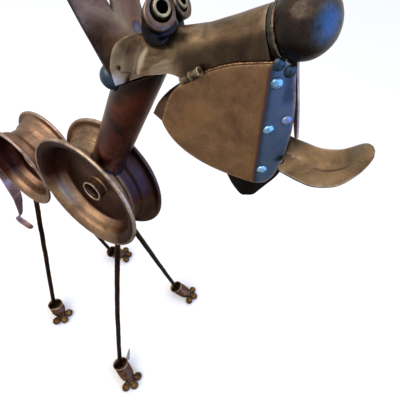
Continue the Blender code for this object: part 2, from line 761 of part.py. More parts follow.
# Tail: a flat strip down from the rear rim, its end turned forward
tailSheet = 0.0035
# Along the middle of the strip: ahead, height and half width
tailCurve = ((-0.2722, 0.5606, 0.0090), (-0.3080, 0.5440, 0.0104), (-0.3420, 0.5150, 0.0128),
             (-0.3720, 0.4750, 0.0145), (-0.3900, 0.4300, 0.0150), (-0.3850, 0.3950, 0.0150),
             (-0.3824, 0.3653, 0.0146), (-0.3850, 0.3350, 0.0132), (-0.4009, 0.2882, 0.0104),
             (-0.4192, 0.2394, 0.0064), (-0.4384, 0.2088, 0.0055), (-0.4590, 0.1870, 0.0070),
             (-0.4610, 0.1760, 0.0086), (-0.4490, 0.1695, 0.0094), (-0.4257, 0.1681, 0.0094),
             (-0.4020, 0.1705, 0.0088), (-0.3900, 0.1720, 0.0050))


def makeTail():
    bm = bmesh.new()
    rows = [[bm.verts.new((x, side * half, z)) for x, z, half in tailCurve] for side in (-1, 1)]
    for i in range(len(tailCurve) - 1):
        bm.faces.new((rows[0][i], rows[0][i + 1], rows[1][i + 1], rows[1][i]))
    thicken(bm, tailSheet, Vector((-1.0, 0.0, 0.0)))
    addObject("tail", bm, steelBrown, 0.45)


def centreOnFloor():
    """Moves the whole dog so that its box stands centred on x = y = 0 with its feet on z = 0."""
    bpy.context.view_layer.update()
    corners = [obj.matrix_world @ vertex.co for obj in bpy.data.objects if obj.type == "MESH"
               for vertex in obj.data.vertices]
    low = [min(c[k] for c in corners) for k in range(3)]
    high = [max(c[k] for c in corners) for k in range(3)]
    dog.location = (-(low[0] + high[0]) / 2, -(low[1] + high[1]) / 2, -low[2])
    bpy.context.view_layer.update()


clearScene()
dog = bpy.data.objects.new("dog", None)
bpy.context.scene.collection.objects.link(dog)
makeRim("front_rim", frontRimRadius, frontRimHalfWidth, frontAxle, hubBore, hubReach)
makeRim("rear_rim", rearRimRadius, rearRimHalfWidth, rearAxle, rearHubBore, rearHubReach)
makeNeck()
makeMuzzle()
makeNose()
makeEars()
makeNape()
for eye in eyes:
    makeEye(*eye)
makeJowl("right", -1, bandEdge, True)
makeJowl("left", 1, tabEdge, False)
makeRivets()
makeChin()
makeTongue()
makeLug("right", -1)
makeLug("left", 1)
makeLegs()
makeTail()
centreOnFloor()
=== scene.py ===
import math
from types import SimpleNamespace

import bmesh
import bpy
from mathutils import Matrix, Vector, geometry, noise


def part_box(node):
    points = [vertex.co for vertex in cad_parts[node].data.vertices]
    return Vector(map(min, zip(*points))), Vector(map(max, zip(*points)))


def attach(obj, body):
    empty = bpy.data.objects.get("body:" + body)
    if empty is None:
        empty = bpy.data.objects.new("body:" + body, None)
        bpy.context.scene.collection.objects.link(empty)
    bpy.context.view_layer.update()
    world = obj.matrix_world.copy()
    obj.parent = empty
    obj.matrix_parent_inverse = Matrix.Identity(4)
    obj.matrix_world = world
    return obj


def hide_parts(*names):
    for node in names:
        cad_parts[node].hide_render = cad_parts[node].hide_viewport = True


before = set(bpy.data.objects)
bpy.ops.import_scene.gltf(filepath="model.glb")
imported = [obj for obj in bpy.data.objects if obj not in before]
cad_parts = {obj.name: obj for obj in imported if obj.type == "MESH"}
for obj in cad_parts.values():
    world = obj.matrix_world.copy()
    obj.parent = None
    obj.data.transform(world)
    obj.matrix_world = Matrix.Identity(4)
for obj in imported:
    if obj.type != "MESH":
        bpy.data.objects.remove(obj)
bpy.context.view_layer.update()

# the dog is drawn in its own frame, with the front axle at frontAxle, then shifted onto the CAD
mm = 0.001
leftward = Vector((0, 1, 0))
upward = Vector((0, 0, 1))
frontAxle = Vector((0, -0.0008, 0.635))
rimLow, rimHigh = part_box("front_rim")
shift = (rimLow + rimHigh) / 2 - frontAxle


def hexColour(text):
    # sRGB hex to the linear values that shaders use
    channels = [int(text[i:i + 2], 16) / 255 for i in (1, 3, 5)]
    return tuple(c / 12.92 if c <= 0.04045 else ((c + 0.055) / 1.055)**2.4 for c in channels) + (1,)


def addNode(tree, kind, settings=None):
    # a setting that is a node or a socket becomes a link; a node gives its first output
    node = tree.nodes.new("ShaderNode" + kind)
    for key, value in (settings or {}).items():
        if isinstance(value, str) and value.startswith("#"):
            value = hexColour(value)
        if key == "stops":
            ramp = node.color_ramp.elements
            while len(ramp) < len(value):
                ramp.new(1)
            for element, (place, colour) in zip(ramp, value):
                element.position = place
                element.color = hexColour(colour)
        elif isinstance(value, bpy.types.Node):
            tree.links.new(value.outputs[0], node.inputs[key])
        elif isinstance(value, bpy.types.NodeSocket):
            tree.links.new(value, node.inputs[key])
        elif isinstance(key, str) and hasattr(node, key):
            setattr(node, key, value)
        else:
            node.inputs[key].default_value = value
    return node


black, white = "#000000", "#ffffff"
# heat tint round the welds, cool to hot: straw, purple, then blue; the same ramp also lays painted blue
# reflections and a painted shadow
heatStops = ((0, "#6b4a34"), (0.30, "#8c6a34"), (0.48, "#5f3c44"), (0.64, "#29405a"),
             (0.82, "#48607a"), (1, "#6c6460"))
# sizes in mm; the pits are drawn coarser than real ones so that they show
patina = {"patchMm": 38, "mottleMm": 12, "mottle": 0.18, "pitMm": 1.6, "pits": 0.25,
          "pitColour": "#1c120d", "scratches": 0.12, "wear": 0.8, "heat": 0.8, "grime": 0.9,
          "soot": "#140c09", "rough": (0.32, 0.46), "bump": 0.35, "bumpMm": 0.35, "metallic": 0.95,
          "coat": 0.2}


def steel(name, seed, colours, edge, **special):
    # every piece is mild steel; what differs is the patina grown on it, how far it is rubbed, and the
    # painted light and shade laid over it
    look = patina | special
    material = bpy.data.materials.new(name)
    material.use_nodes = True
    tree = material.node_tree
    tree.nodes.clear()
    here = addNode(tree, "TexCoord").outputs["Object"]
    moved = addNode(tree, "Mapping", {"Location": (seed, 0.3 * seed, 0), "Vector": here})
    patches, mottle, pits = (
        addNode(tree, "TexNoise", {"Scale": 1 / (size * mm), "Detail": detail, "Roughness": broken,
                                   "Distortion": drift, "Vector": moved})
        for size, detail, broken, drift in (
            (look["patchMm"], 5, 0.6, 0.7), (look["mottleMm"], 8, 0.68, 0), (look["pitMm"], 2, 0.5, 0)))
    stretched = addNode(tree, "Mapping", {"Rotation": (0.4, 0.3, 0.2), "Scale": (70, 1400, 1400),
                                          "Vector": here})
    scratch = addNode(tree, "TexNoise", {"Scale": 1, "Detail": 1, "Vector": stretched})
    stops = [(0.34 + 0.32 * i / 3, colour) for i, colour in enumerate(colours.split())]
    body = addNode(tree, "ValToRGB", {"stops": stops, "Fac": patches})
    grain, pitMask, lines = (
        addNode(tree, "ValToRGB", {"stops": ((low, black), (high, white)), "Fac": source})
        for source, low, high in ((mottle, 0.32, 0.68), (pits, 0.60, 0.68), (scratch, 0.66, 0.72)))
    heat, wear, polish, grime = (
        addNode(tree, "Attribute", {"attribute_name": word}).outputs["Fac"]
        for word in ("temper", "wear", "polish", "grime"))
    pitShare = addNode(tree, "Math", {"operation": "MULTIPLY", 0: pitMask, 1: look["pits"]})
    lineShare = addNode(tree, "Math", {"operation": "MULTIPLY", 0: lines, 1: look["scratches"]})
    # the heat ramp is broken by the mottle
    heatNoise = addNode(tree, "Math", {"operation": "MULTIPLY_ADD", 0: mottle, 1: 0.35, 2: heat})
    heatPlace = addNode(tree, "Math", {"operation": "SUBTRACT", 0: heatNoise, 1: 0.17})
    heatTint = addNode(tree, "ValToRGB", {"stops": heatStops, "Fac": heatPlace})
    heatShare = addNode(tree, "MapRange", {"From Min": 0.08, "From Max": 0.5, "To Max": look["heat"],
                                           "Value": heat})
    # bare edges where handling has rubbed through, and evenly polished faces; the same two layers also
    # carry painted highlights and painted reflections
    wearAndHighlightBreak = addNode(tree, "Math", {"operation": "MULTIPLY", 0: wear, 1: grain})
    bare = addNode(tree, "MixRGB", {0: polish, 1: wearAndHighlightBreak, 2: white})
    wearAndHighlightShare = addNode(tree, "Math", {"operation": "MULTIPLY", "use_clamp": True, 0: bare,
                                       1: look["wear"]})
    # soot and old oxide held in the hollows, together with painted shade, none where neither is laid
    grimeAndShadeBreak = addNode(tree, "Math", {"operation": "MULTIPLY_ADD", 0: mottle, 1: 0.5, 2: -0.25})
    grimeAndShadeSum = addNode(tree, "Math", {"operation": "ADD", "use_clamp": True, 0: grime, 1: grimeAndShadeBreak})
    grimeAndShadeShare = addNode(tree, "Math", {"operation": "MULTIPLY", 0: grimeAndShadeSum, 1: look["grime"]})
    gate = addNode(tree, "Math", {"operation": "MULTIPLY", "use_clamp": True, 0: grime, 1: 5})
    sootShare = addNode(tree, "Math", {"operation": "MULTIPLY", "use_clamp": True, 0: grimeAndShadeShare,
                                       1: gate})
    colour = addNode(tree, "MixRGB", {"blend_type": "OVERLAY", 0: look["mottle"], 1: body, 2: grain})
    for share, paint in ((pitShare, look["pitColour"]), (lineShare, edge), (heatShare, heatTint),
                         (wearAndHighlightShare, edge), (sootShare, look["soot"])):
        colour = addNode(tree, "MixRGB", {0: share, 1: colour, 2: paint})
    low, high = look["rough"]
    rough = addNode(tree, "MapRange", {"From Min": 0.3, "From Max": 0.7, "To Min": low, "To Max": high,
                                       "Value": mottle})
    height = addNode(tree, "Math", {"operation": "MULTIPLY_ADD", 0: pitMask, 1: -look["pits"],
                                    2: mottle})
    relief = addNode(tree, "Bump", {"Strength": look["bump"], "Distance": look["bumpMm"] * mm,
                                    "Height": height})
    shader = addNode(tree, "BsdfPrincipled", {
        "Metallic": look["metallic"], "Coat Weight": look["coat"], "Coat Roughness": 0.2,
        "Base Color": colour, "Roughness": rough, "Normal": relief})
    addNode(tree, "OutputMaterial", {"Surface": shader})
    return material


# brown oxide grown on pressed rims: dull bronze, rubbed pale on its edges, with a painted highlight in
# gold where the light rakes them and painted shade in the dishes
rimSteel = steel("brownOxideRimSteel", 0, "#745b48 #8b6f58 #a18469 #b09573", "#f5e6d8", soot="#3a1c17",
                 patchMm=70, rough=(0.36, 0.48), coat=0, metallic=1, grime=1)
rearRimSteel = steel("goldenOxideRimSteel", 1.7, "#6e5446 #866754 #967863 #a3846c", "#e0c9c7",
                     soot="#381a15", patchMm=70, rough=(0.34, 0.46), coat=0, metallic=1, grime=1)
# drawn tube browned by heat: deep red-brown under a clear coat's soft line of light
neckSteel = steel("redBronzeTube", 3.1, "#34160d #521f16 #672d1b #6e3c29", "#a48273",
                  rough=(0.24, 0.38), coat=0.35)
# hand rolled sheet: olive tan oxide, with a painted highlight on the beaten lobe and its ridge
muzzleSteel = steel("oliveOxideSheet", 5.3, "#544133 #776149 #967d61 #a99276", "#ecdcc7",
                    soot="#2a1c14", rough=(0.30, 0.44))
# lacquered cut plate: purple brown with a sharp sheen
earSteel = steel("purpleOxideSheet", 7.7, "#584030 #745442 #86674e #937c5b", "#b4a488",
                 rough=(0.22, 0.36), coat=0.35)
# bar heated blue: cool grey blue against the warm sheet
napeSteel = steel("blueHeatedRod", 9.1, "#384a60 #4f606f #707e81 #8b948d", "#959f9c")
# flame coloured sheet: even warm brown that turns blue along the heated front
jowlSteel = steel("warmOxideSheet", 11.3, "#6f533e #836247 #906e4f #99724d", "#d1ac8c",
                  patchMm=60, heat=0.95)
# painted shade: the sheet under the jowls is coloured near black, flat and rough
shadedJawSteel = steel("shadedBlackSheet", 13.9, "#070605 #0e0c0a #16120e #1e1812", "#5c5046",
                 rough=(0.4, 0.6), wear=0.4)
# thick plate, oxidised: soft tan with little shine
tongueSteel = steel("tanOxidePlate", 15.1, "#51402d #655038 #735d42 #7d694f", "#b1aca0",
                    rough=(0.34, 0.5))
# old ball, pitted all over: near black brown; its blue edge colour is laid as a painted blue reflection
ballSteel = steel("pittedDarkBall", 17.7, "#1f1512 #31231c #423627 #534830", "#35648c",
                  pits=0.9, pitMm=1.1, bump=0.7, rough=(0.28, 0.44), coat=0.4)
# scaled ring: a dull grey line behind the ball
collarSteel = steel("greyScaleCollar", 19.3, "#1b1914 #26251f #34322d #3f3d37", "#6d6d61")
# rolled strip: dark bronze with a pink cast and a tight highlight
eyeSteel = steel("pinkBronzeStrip", 21.1, "#211411 #382521 #48322c #533d35", "#897768",
                 rough=(0.22, 0.36))
# cut tube: straw coloured ends that catch the light
eyeTubeSteel = steel("strawTintedTube", 23.9, "#332f28 #454138 #575246 #645e50", "#c8b890")
# painted shade: the stem under each eye and its weld are coloured almost black, navy in tint
shadedStemSteel = steel("shadedNavyStem", 25.3, "#0b0a0d #131116 #1b191f #272229", "#5c5660")
# zinc plated rivets: bright sky blue and lilac ones, and a duller teal copy that is painted shade for
# the rivets lying in shadow
rivetSteel = steel("zincRivet", 27.7, "#4c78a0 #649cc8 #7cb4dc #94c4e4", "#d0e8f8",
                   rough=(0.18, 0.3), pits=0.2)
shadedRivetSteel = steel("shadedTealRivet", 28.3, "#1c2834 #243444 #2c4052 #364c60", "#5c7484", pits=0.3)
lilacRivetSteel = steel("lilacRivet", 29.1, "#54608c #6270a0 #7484b0 #8494bc", "#b0b8d8", pits=0.2)
# plated stud gone dull: brass grey, rubbed bright at its end
lugSteel = steel("dullStud", 29.9, "#4f4131 #6c5d46 #88775f #9e9073", "#e6d9b1")
# hot rolled rod: thin dark brown lines with no gloss
rodSteel = steel("darkOxideRod", 31.3, "#190e08 #28180e #342013 #452d1d", "#624e3e",
                 rough=(0.34, 0.5), metallic=1, coat=0)
# clean flat bar: light grey
spurSteel = steel("greySpur", 32.3, "#6c626c #7c727a #8c828a #989098", "#b4acb4")
# forged cups: brown scale with a worn lighter lip
pawSteel = steel("brownScaleCup", 33.1, "#3e271c #593927 #715035 #826040", "#c8a27f")
# bearing balls gone dull: olive brown, softly shaded
toeSteel = steel("oliveBallBearing", 35.7, "#412d18 #593e21 #6f522c #826337", "#bb954f",
                 rough=(0.42, 0.56), coat=0)
# strip oxidised to mauve: paler than the rims
tailSteel = steel("purpleOxideStrip", 37.9, "#695153 #886b6d #9c7f81 #ae908d", "#eacdc3")
# weld metal: small rippled beads, navy, silvery blue or brown by how hot they ran
navyWeldSteel = steel("navyWeldBead", 38.3, "#0b0e13 #121720 #1a212c #232d3b", "#4c5a6c",
                      rough=(0.35, 0.5), wear=0.2)
weldSteel = steel("blueWeldBead", 39.1, "#2a3040 #46506a #6c7890 #94a0b4", "#c8d0dc",
                  rough=(0.25, 0.45), mottleMm=2.5)
brownWeldSteel = steel("brownWeldBead", 41.3, "#2c221c #4c3c30 #6a5848 #8a786a", "#c8bcac",
                       rough=(0.28, 0.45), mottleMm=2.5)
print("materials made")


def makePiece(name, bm, material, nodes=(), sharp=38, edgeRound=0):
    bmesh.ops.translate(bm, vec=shift, verts=bm.verts[:])
    bmesh.ops.recalc_face_normals(bm, faces=bm.faces[:])
    mesh = bpy.data.meshes.new(name)
    bm.to_mesh(mesh)
    bm.free()
    mesh.shade_smooth()
    mesh.set_sharp_from_angle(angle=math.radians(sharp))
    mesh.materials.append(material)
    piece = bpy.data.objects.new(name, mesh)
    bpy.context.scene.collection.objects.link(piece)
    if edgeRound:
        bevel = piece.modifiers.new("edgeRound", "BEVEL")
        bevel.width = edgeRound
        bevel.segments = 2
        bevel.limit_method = "ANGLE"
        bevel.angle_limit = math.radians(50)
    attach(piece, "root")
    if nodes:
        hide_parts(*nodes)


def frameAlong(direction, sideways=leftward):
    # two unit vectors across a direction
    axis = direction.normalized()
    if abs(axis.dot(sideways)) > 0.99:
        sideways = Vector((1, 0, 0))
    first = (sideways - axis * sideways.dot(axis)).normalized()
    return first, axis.cross(first)


def eased(low, high, value):
    # 0 at low and 1 at high, with soft ends; low may be the larger one
    t = max(0, min(1, (value - low) / (high - low)))
    return t * t * (3 - 2 * t)


def layersOf(bm):
    # what the patina and the painted light and shade read at each vertex
    found = bm.verts.layers.float
    return SimpleNamespace(**{word: found.get(word) or found.new(word)
                              for word in ("wear", "grime", "temper", "polish")})


def arcCorner(corner, toLast, toNext, radius, turnedOut):
    # points of an arc that rounds a corner, none where the corner is nearly straight
    inner = toLast.angle(toNext)
    bend = math.pi - inner
    if radius <= 0 or bend < 0.05:
        return [(corner.x, corner.y, 0, 0)]
    reach = min(radius / math.tan(inner / 2), 0.46 * toLast.length, 0.46 * toNext.length)
    radius = reach * math.tan(inner / 2)
    first, last = toLast.normalized(), toNext.normalized()
    centre = corner + (first + last).normalized() * radius / math.sin(inner / 2)
    spoke = corner + first * reach - centre
    turn = -bend if (-first).cross(last) < 0 else bend
    pieces = max(2, math.ceil(bend / math.radians(22)))
    # a tight corner is rubbed where it stands out and dirty where it is hollow
    strength = min(1, bend / math.radians(60)) * eased(0.0050, 0.0015, radius)
    points = []
    for k in range(pieces + 1):
        a = turn * k / pieces
        at = centre + Vector((spoke.x * math.cos(a) - spoke.y * math.sin(a),
                              spoke.x * math.sin(a) + spoke.y * math.cos(a)))
        points.append((at.x, at.y, strength, 0) if turnedOut else (at.x, at.y, 0, strength))
    return points


def rounded(outline, step=0.004, fadeLength=0.003):
    # closed (across, along, corner radius) outline into (across, along, wear and highlight, grime and
    # shade), corners as arcs
    points = [Vector(p[:2]) for p in outline]
    count = len(points)
    area = sum(points[i].cross(points[(i + 1) % count]) for i in range(count))
    result = []
    for i, corner in enumerate(points):
        toLast, toNext = points[i - 1] - corner, points[(i + 1) % count] - corner
        result += arcCorner(corner, toLast, toNext, outline[i][2], (-toLast).cross(toNext) * area > 0)
    full = []
    for i, here in enumerate(result):
        after = result[(i + 1) % len(result)]
        full.append(here)
        length = math.dist(here[:2], after[:2])
        parts = int(length / step) + 1
        for k in range(1, parts):
            t = k / parts
            fade = max(0, 1 - min(t, 1 - t) * length / fadeLength)
            near = here if t < 0.5 else after
            full.append((here[0] + t * (after[0] - here[0]), here[1] + t * (after[1] - here[1]),
                         fade * near[2], fade * near[3]))
    return full


def turned(bm, profile, centre, axis, sides):
    # spins a (radius, along, wear and highlight, grime and shade) outline about an axis
    on = layersOf(bm)
    first, second = frameAlong(axis)
    axis = axis.normalized()
    spokes = []
    for i in range(sides):
        angle = 2 * math.pi * i / sides
        out = math.cos(angle) * first + math.sin(angle) * second
        spoke = []
        for r, a, wear, grime in profile:
            vertex = bm.verts.new(centre + r * out + a * axis)
            vertex[on.wear] = wear
            vertex[on.grime] = grime
            spoke.append(vertex)
        spokes.append(spoke)
    for here, after in zip(spokes, spokes[1:] + spokes[:1]):
        for k in range(len(profile)):
            m = (k + 1) % len(profile)
            bm.faces.new((here[k], here[m], after[m], after[k]))


def dented(bm, depth, size, seed=0):
    # slight hand-made unevenness, along each vertex normal
    bm.normal_update()
    offset = Vector((seed, seed, seed))
    for vertex in bm.verts:
        vertex.co += vertex.normal * depth * noise.noise(vertex.co / size + offset)


def sprayed(bm, spots, reach, word, peak=1):
    # raises a layer near each spot, fading over its reach
    layer = vars(layersOf(bm))[word]
    for vertex in bm.verts:
        near = min((vertex.co - spot).length for spot in spots)
        vertex[layer] = max(vertex[layer], peak * max(0, 1 - near / reach))


def circle(centre, first, second, radius, sides):
    step = 2 * math.pi / sides
    return [centre + radius * (math.cos(i * step) * first + math.sin(i * step) * second)
            for i in range(sides)]


def loft(bm, rings, closedEnds=True):
    loops = [[bm.verts.new(p) for p in ring] for ring in rings]
    count = len(loops[0])
    for a, b in zip(loops, loops[1:]):
        for i in range(count):
            j = (i + 1) % count
            bm.faces.new((a[i], a[j], b[j], b[i]))
    if closedEnds:
        bm.faces.new(loops[0])
        bm.faces.new(loops[-1][::-1])
    return loops


def smoothCurve(points, steps):
    # Catmull-Rom curve through the points, in any number of dimensions
    result = []
    for i, (b, c) in enumerate(zip(points, points[1:])):
        a = points[i - 1] if i else [2 * p - q for p, q in zip(b, c)]
        d = points[i + 2] if i + 2 < len(points) else [2 * q - p for p, q in zip(b, c)]
        for k in range(steps):
            t = k / steps
            result.append(tuple(0.5 * (2 * q + (r - p) * t + (2 * p - 5 * q + 4 * r - s) * t * t
                                       + (3 * q - p - 3 * r + s) * t**3)
                                for p, q, r, s in zip(a, b, c, d)))
    return result + [tuple(points[-1])]


def tube(bm, path, radiusAt, sides):
    # round bar along a path of points; radiusAt gives its radius from 0 to 1 along it
    rings = []
    last = len(path) - 1
    first = None
    for i, point in enumerate(path):
        ahead = path[min(i + 1, last)] - path[max(i - 1, 0)]
        first, second = frameAlong(ahead, first or leftward)
        rings.append(circle(point, first, second, radiusAt(i / last), sides))
    return loft(bm, rings)


# metres and shares; every weld is a thin tube with ripples of its pitch
beadShape = {"step": 0.0008, "sides": 10, "ripple": 0.16, "wander": 0.25, "wanderSize": 0.006,
             "dentSize": 0.0022, "wear": 0.15}


def bead(name, path, radius, material, closed=False, pitch=0.0035):
    # weld bead: overlapping ripples laid along a seam, each end run out
    s = beadShape
    points = [Vector(p) for p in path]
    if closed:
        points.append(points[0].copy())
    lengths = [0]
    for a, b in zip(points, points[1:]):
        lengths.append(lengths[-1] + (b - a).length)
    total = lengths[-1]
    count = max(6, int(total / s["step"]))
    fine = []
    k = 0
    for i in range(count + 1):
        place = total * i / count
        while k < len(points) - 2 and lengths[k + 1] < place:
            k += 1
        t = (place - lengths[k]) / max(1e-9, lengths[k + 1] - lengths[k])
        fine.append(points[k].lerp(points[k + 1], t))

    def radiusAt(t):
        place = t * total
        ripple = 1 + s["ripple"] * abs(math.sin(math.pi * place / pitch))
        wander = 1 + s["wander"] * noise.noise(fine[min(count, int(t * count))] / s["wanderSize"])
        runOut = 1 if closed else min(1, 0.3 + min(place, total - place) / (1.5 * radius))
        return radius * ripple * wander * runOut

    bm = bmesh.new()
    tube(bm, fine, radiusAt, s["sides"])
    dented(bm, 0.25 * radius, s["dentSize"], 3)
    on = layersOf(bm)
    # the wear share also scatters small painted glints over each bead
    for vertex in bm.verts:
        vertex[on.wear] = s["wear"]
    makePiece(name, bm, material)


def lineDistance(point, path):
    # distance of a flat point from an open path of flat points
    best = 1e9
    for a, b in zip(path, path[1:]):
        start, edge = Vector(a), Vector(b) - Vector(a)
        t = max(0, min(1, (Vector(point) - start).dot(edge) / max(1e-12, edge.length_squared)))
        best = min(best, (Vector(point) - start - t * edge).length)
    return best


def insideOutline(point, outline):
    inside = False
    for a, b in zip(outline, outline[1:] + outline[:1]):
        if (a.y > point.y) != (b.y > point.y):
            if point.x < a.x + (point.y - a.y) / (b.y - a.y) * (b.x - a.x):
                inside = not inside
    return inside


def thickened(bm, skins, thickness, outward):
    # turns the faces outward and closes them with a second skin behind
    layers = vars(layersOf(bm)).values()
    bmesh.ops.recalc_face_normals(bm, faces=skins)
    if sum(f.normal.dot(outward) * f.calc_area() for f in skins) < 0:
        bmesh.ops.reverse_faces(bm, faces=skins)
    bm.normal_update()
    front = {v for f in skins for v in f.verts}
    rims = [loop for f in skins for loop in f.loops if loop.edge.is_boundary]
    back = {}
    for vertex in sorted(front, key=lambda v: v.index):
        other = bm.verts.new(vertex.co - vertex.normal * thickness)
        for layer in layers:
            other[layer] = vertex[layer]
        back[vertex] = other
    sides = [(loop.vert, loop.link_loop_next.vert) for loop in rims]
    for face in skins:
        bm.faces.new([back[v] for v in reversed(face.verts)])
    for a, b in sides:
        bm.faces.new((b, a, back[a], back[b]))


def plated(bm, rows, thickness, outward):
    # a grid of vertices into a thick sheet
    skins = [bm.faces.new((a[i], a[i + 1], b[i + 1], b[i]))
             for a, b in zip(rows, rows[1:]) for i in range(len(a) - 1)]
    thickened(bm, skins, thickness, outward)


def sheetOf(bm, outline, spacing, place, thickness, outward, rubbed=0.0022):
    # flat closed outline into a fine sheet, laid in space by place(u, v) and thickened inward
    edge = [Vector(p) for p in outline]
    fine = []
    for a, b in zip(edge, edge[1:] + edge[:1]):
        parts = max(1, round((b - a).length / spacing))
        fine.extend(a.lerp(b, k / parts) for k in range(parts))
    low = Vector((min(p.x for p in fine), min(p.y for p in fine)))
    high = Vector((max(p.x for p in fine), max(p.y for p in fine)))
    border = fine + fine[:1]
    inner = []
    rise = 0.866 * spacing
    for row in range(1, int((high.y - low.y) / rise) + 1):
        for column in range(int((high.x - low.x) / spacing) + 1):
            at = low + Vector((spacing * (column + 0.5 * (row % 2)), rise * row))
            if insideOutline(at, fine) and lineDistance(at, border) > 0.55 * spacing:
                inner.append(at)
    flat, _, faces, _, _, _ = geometry.delaunay_2d_cdt(
        fine + inner, [], [list(range(len(fine)))], 1, 1e-7)
    on = layersOf(bm)
    front = []
    for p in flat:
        vertex = bm.verts.new(place(p.x, p.y))
        vertex[on.wear] = max(0, 1 - lineDistance(p, border) / rubbed)
        front.append(vertex)
    thickened(bm, [bm.faces.new([front[i] for i in face]) for face in faces], thickness, outward)


def bezier(ends, controls, count):
    curve = []
    for i in range(count + 1):
        t = i / count
        u = 1 - t
        curve.append(tuple(u**3 * p + 3 * u * u * t * q + 3 * u * t * t * r + t**3 * s
                           for p, q, r, s in zip(ends[0], *controls, ends[1])))
    return curve


def readCurve(table, place):
    # smooth values from rows of (place, value, ...), the rows in order of place
    i = 0
    while i < len(table) - 2 and place > table[i + 1][0]:
        i += 1
    here, after = table[i], table[i + 1]
    span = after[0] - here[0]
    t = min(1, max(0, (place - here[0]) / span))
    before, beyond = table[max(0, i - 1)], table[min(len(table) - 1, i + 2)]
    values = []
    for k in range(1, len(here)):
        leave = (after[k] - before[k]) / (after[0] - before[0]) * span
        arrive = (beyond[k] - here[k]) / (beyond[0] - here[0]) * span
        values.append((2 * t**3 - 3 * t * t + 1) * here[k] + (t**3 - 2 * t * t + t) * leave
                      + (3 * t * t - 2 * t**3) * after[k] + (t**3 - t * t) * arrive)
    return values


headPitch = math.radians(28.3)
headForward = Vector((math.cos(headPitch), 0, math.sin(headPitch)))
headUp = Vector((-math.sin(headPitch), 0, math.cos(headPitch)))
muzzleStart = Vector((0.1131, 0, 0.9013))


def headPoint(along, side, up):
    return muzzleStart + along * headForward + side * leftward + up * headUp


view = {"lens": 27, "sensor_width": 36, "shift_x": 0.0045, "shift_y": 0.0115, "clip_start": 0.01}
viewPlace = {"right": Vector((0.84333, 0.52621, 0.10908)),
             "ahead": Vector((-0.27340, 0.59484, -0.75592)), "stand": Vector((0.332, -0.264, 1.064))}
# pale walls, darker towards the floor, and cool daylight ahead of the dog
room = {"floor": "#f4f4f4", "daylight": "#5fa0ff", "daylightWay": (0.952, 0.083, 0.292),
        "walls": ((0, "#5a5550"), (0.05, "#6b6660"), (0.115, "#9b968f"), (0.2, "#bcb7b0"),
                  (0.325, "#cfcac2"), (0.5, "#d4cfc8"), (0.7, "#dad6d0"), (1, "#e6e3de"))}
lamps = (("softKey", "AREA", (-0.6, -1.6, 2.6), 2.4, 40, "#fff3e4"),
         ("softSky", "SUN", (0.3, 0.2, 3.0), 75, 0.8, "#ffffff"))


def studio():
    scene = bpy.context.scene
    camera = bpy.data.cameras.new("camera")
    for key, value in view.items():
        setattr(camera, key, value)
    viewer = bpy.data.objects.new("camera", camera)
    right, ahead = viewPlace["right"], viewPlace["ahead"]
    turn = Matrix((right, right.cross(ahead), -ahead)).transposed()
    viewer.matrix_world = Matrix.Translation(viewPlace["stand"] + shift) @ turn.to_4x4()
    scene.collection.objects.link(viewer)
    scene.camera = viewer

    bm = bmesh.new()
    bmesh.ops.create_grid(bm, x_segments=4, y_segments=4, size=8)
    mesh = bpy.data.meshes.new("floor")
    bm.to_mesh(mesh)
    bm.free()
    paint = bpy.data.materials.new("paleFloorPaint")
    paint.use_nodes = True
    shader = paint.node_tree.nodes["Principled BSDF"]
    shader.inputs["Base Color"].default_value = hexColour(room["floor"])
    shader.inputs["Roughness"].default_value = 0.9
    mesh.materials.append(paint)
    floor = bpy.data.objects.new("floor", mesh)
    floor.visible_glossy = False
    scene.collection.objects.link(floor)

    world = bpy.data.worlds.new("studioWalls")
    world.use_nodes = True
    tree = world.node_tree
    tree.nodes.clear()
    way = addNode(tree, "TexCoord").outputs["Generated"]
    height = addNode(tree, "SeparateXYZ", {"Vector": way}).outputs["Z"]
    share = addNode(tree, "MapRange", {"From Min": -1, "From Max": 1, "Value": height})
    walls = addNode(tree, "ValToRGB", {"stops": room["walls"], "Fac": share})
    facing = addNode(tree, "VectorMath", {"operation": "DOT_PRODUCT", 0: way, 1: room["daylightWay"]})
    cool = addNode(tree, "MapRange", {"interpolation_type": "SMOOTHSTEP", "From Min": 0.68,
                                      "From Max": 0.98, "To Max": 2.5, "Value": facing.outputs["Value"]})
    glow = addNode(tree, "Background", {"Color": walls})
    daylight = addNode(tree, "Background", {"Color": room["daylight"], "Strength": cool})
    addNode(tree, "OutputWorld", {"Surface": addNode(tree, "AddShader", {0: glow, 1: daylight})})
    scene.world = world
    scene.view_settings.view_transform = "Standard"

    target = frontAxle + shift + Vector((0.1, 0, 0.15))
    for name, kind, place, size, power, colour in lamps:
        data = bpy.data.lights.new(name, kind)
        data.energy = power
        data.color = hexColour(colour)[:3]
        if kind == "AREA":
            data.shape = "DISK"
            data.size = size
        else:
            data.angle = math.radians(size)
        lamp = bpy.data.objects.new(name, data)
        lamp.location = place
        lamp.rotation_euler = (target - Vector(place)).to_track_quat("-Z", "Y").to_euler()
        scene.collection.objects.link(lamp)
    print("camera, lights and floor set")


studio()


# metres; the dishes and the valley between them are turned from one outline
rimShape = {"wall": 0.003, "lip": 0.0035, "discHalf": 0.0025, "hub": 0.0210, "bore": 0.0166,
            "discEdge": 0.700, "cove": 0.016, "sides": 144, "ridge": 0.718,
            # shares of the rim's radius and half width, then the corner's radius
            "valley": ((0.744, 0.27, 0.014), (0.800, 0.36, 0.014), (0.832, 0.74, 0.012),
                       (0.885, 0.86, 0.008))}
rims = (("front_rim", "frontRimPressing", 0.119, 0.0400, frontAxle, 0.021, rimSteel, (-0.35, -0.94)),
        ("rear_rim", "rearRimPressing", 0.093, 0.0452, Vector((-0.2062, 0.0035, 0.5844)), 0.010,
         rearRimSteel, (0.2, -0.98)))


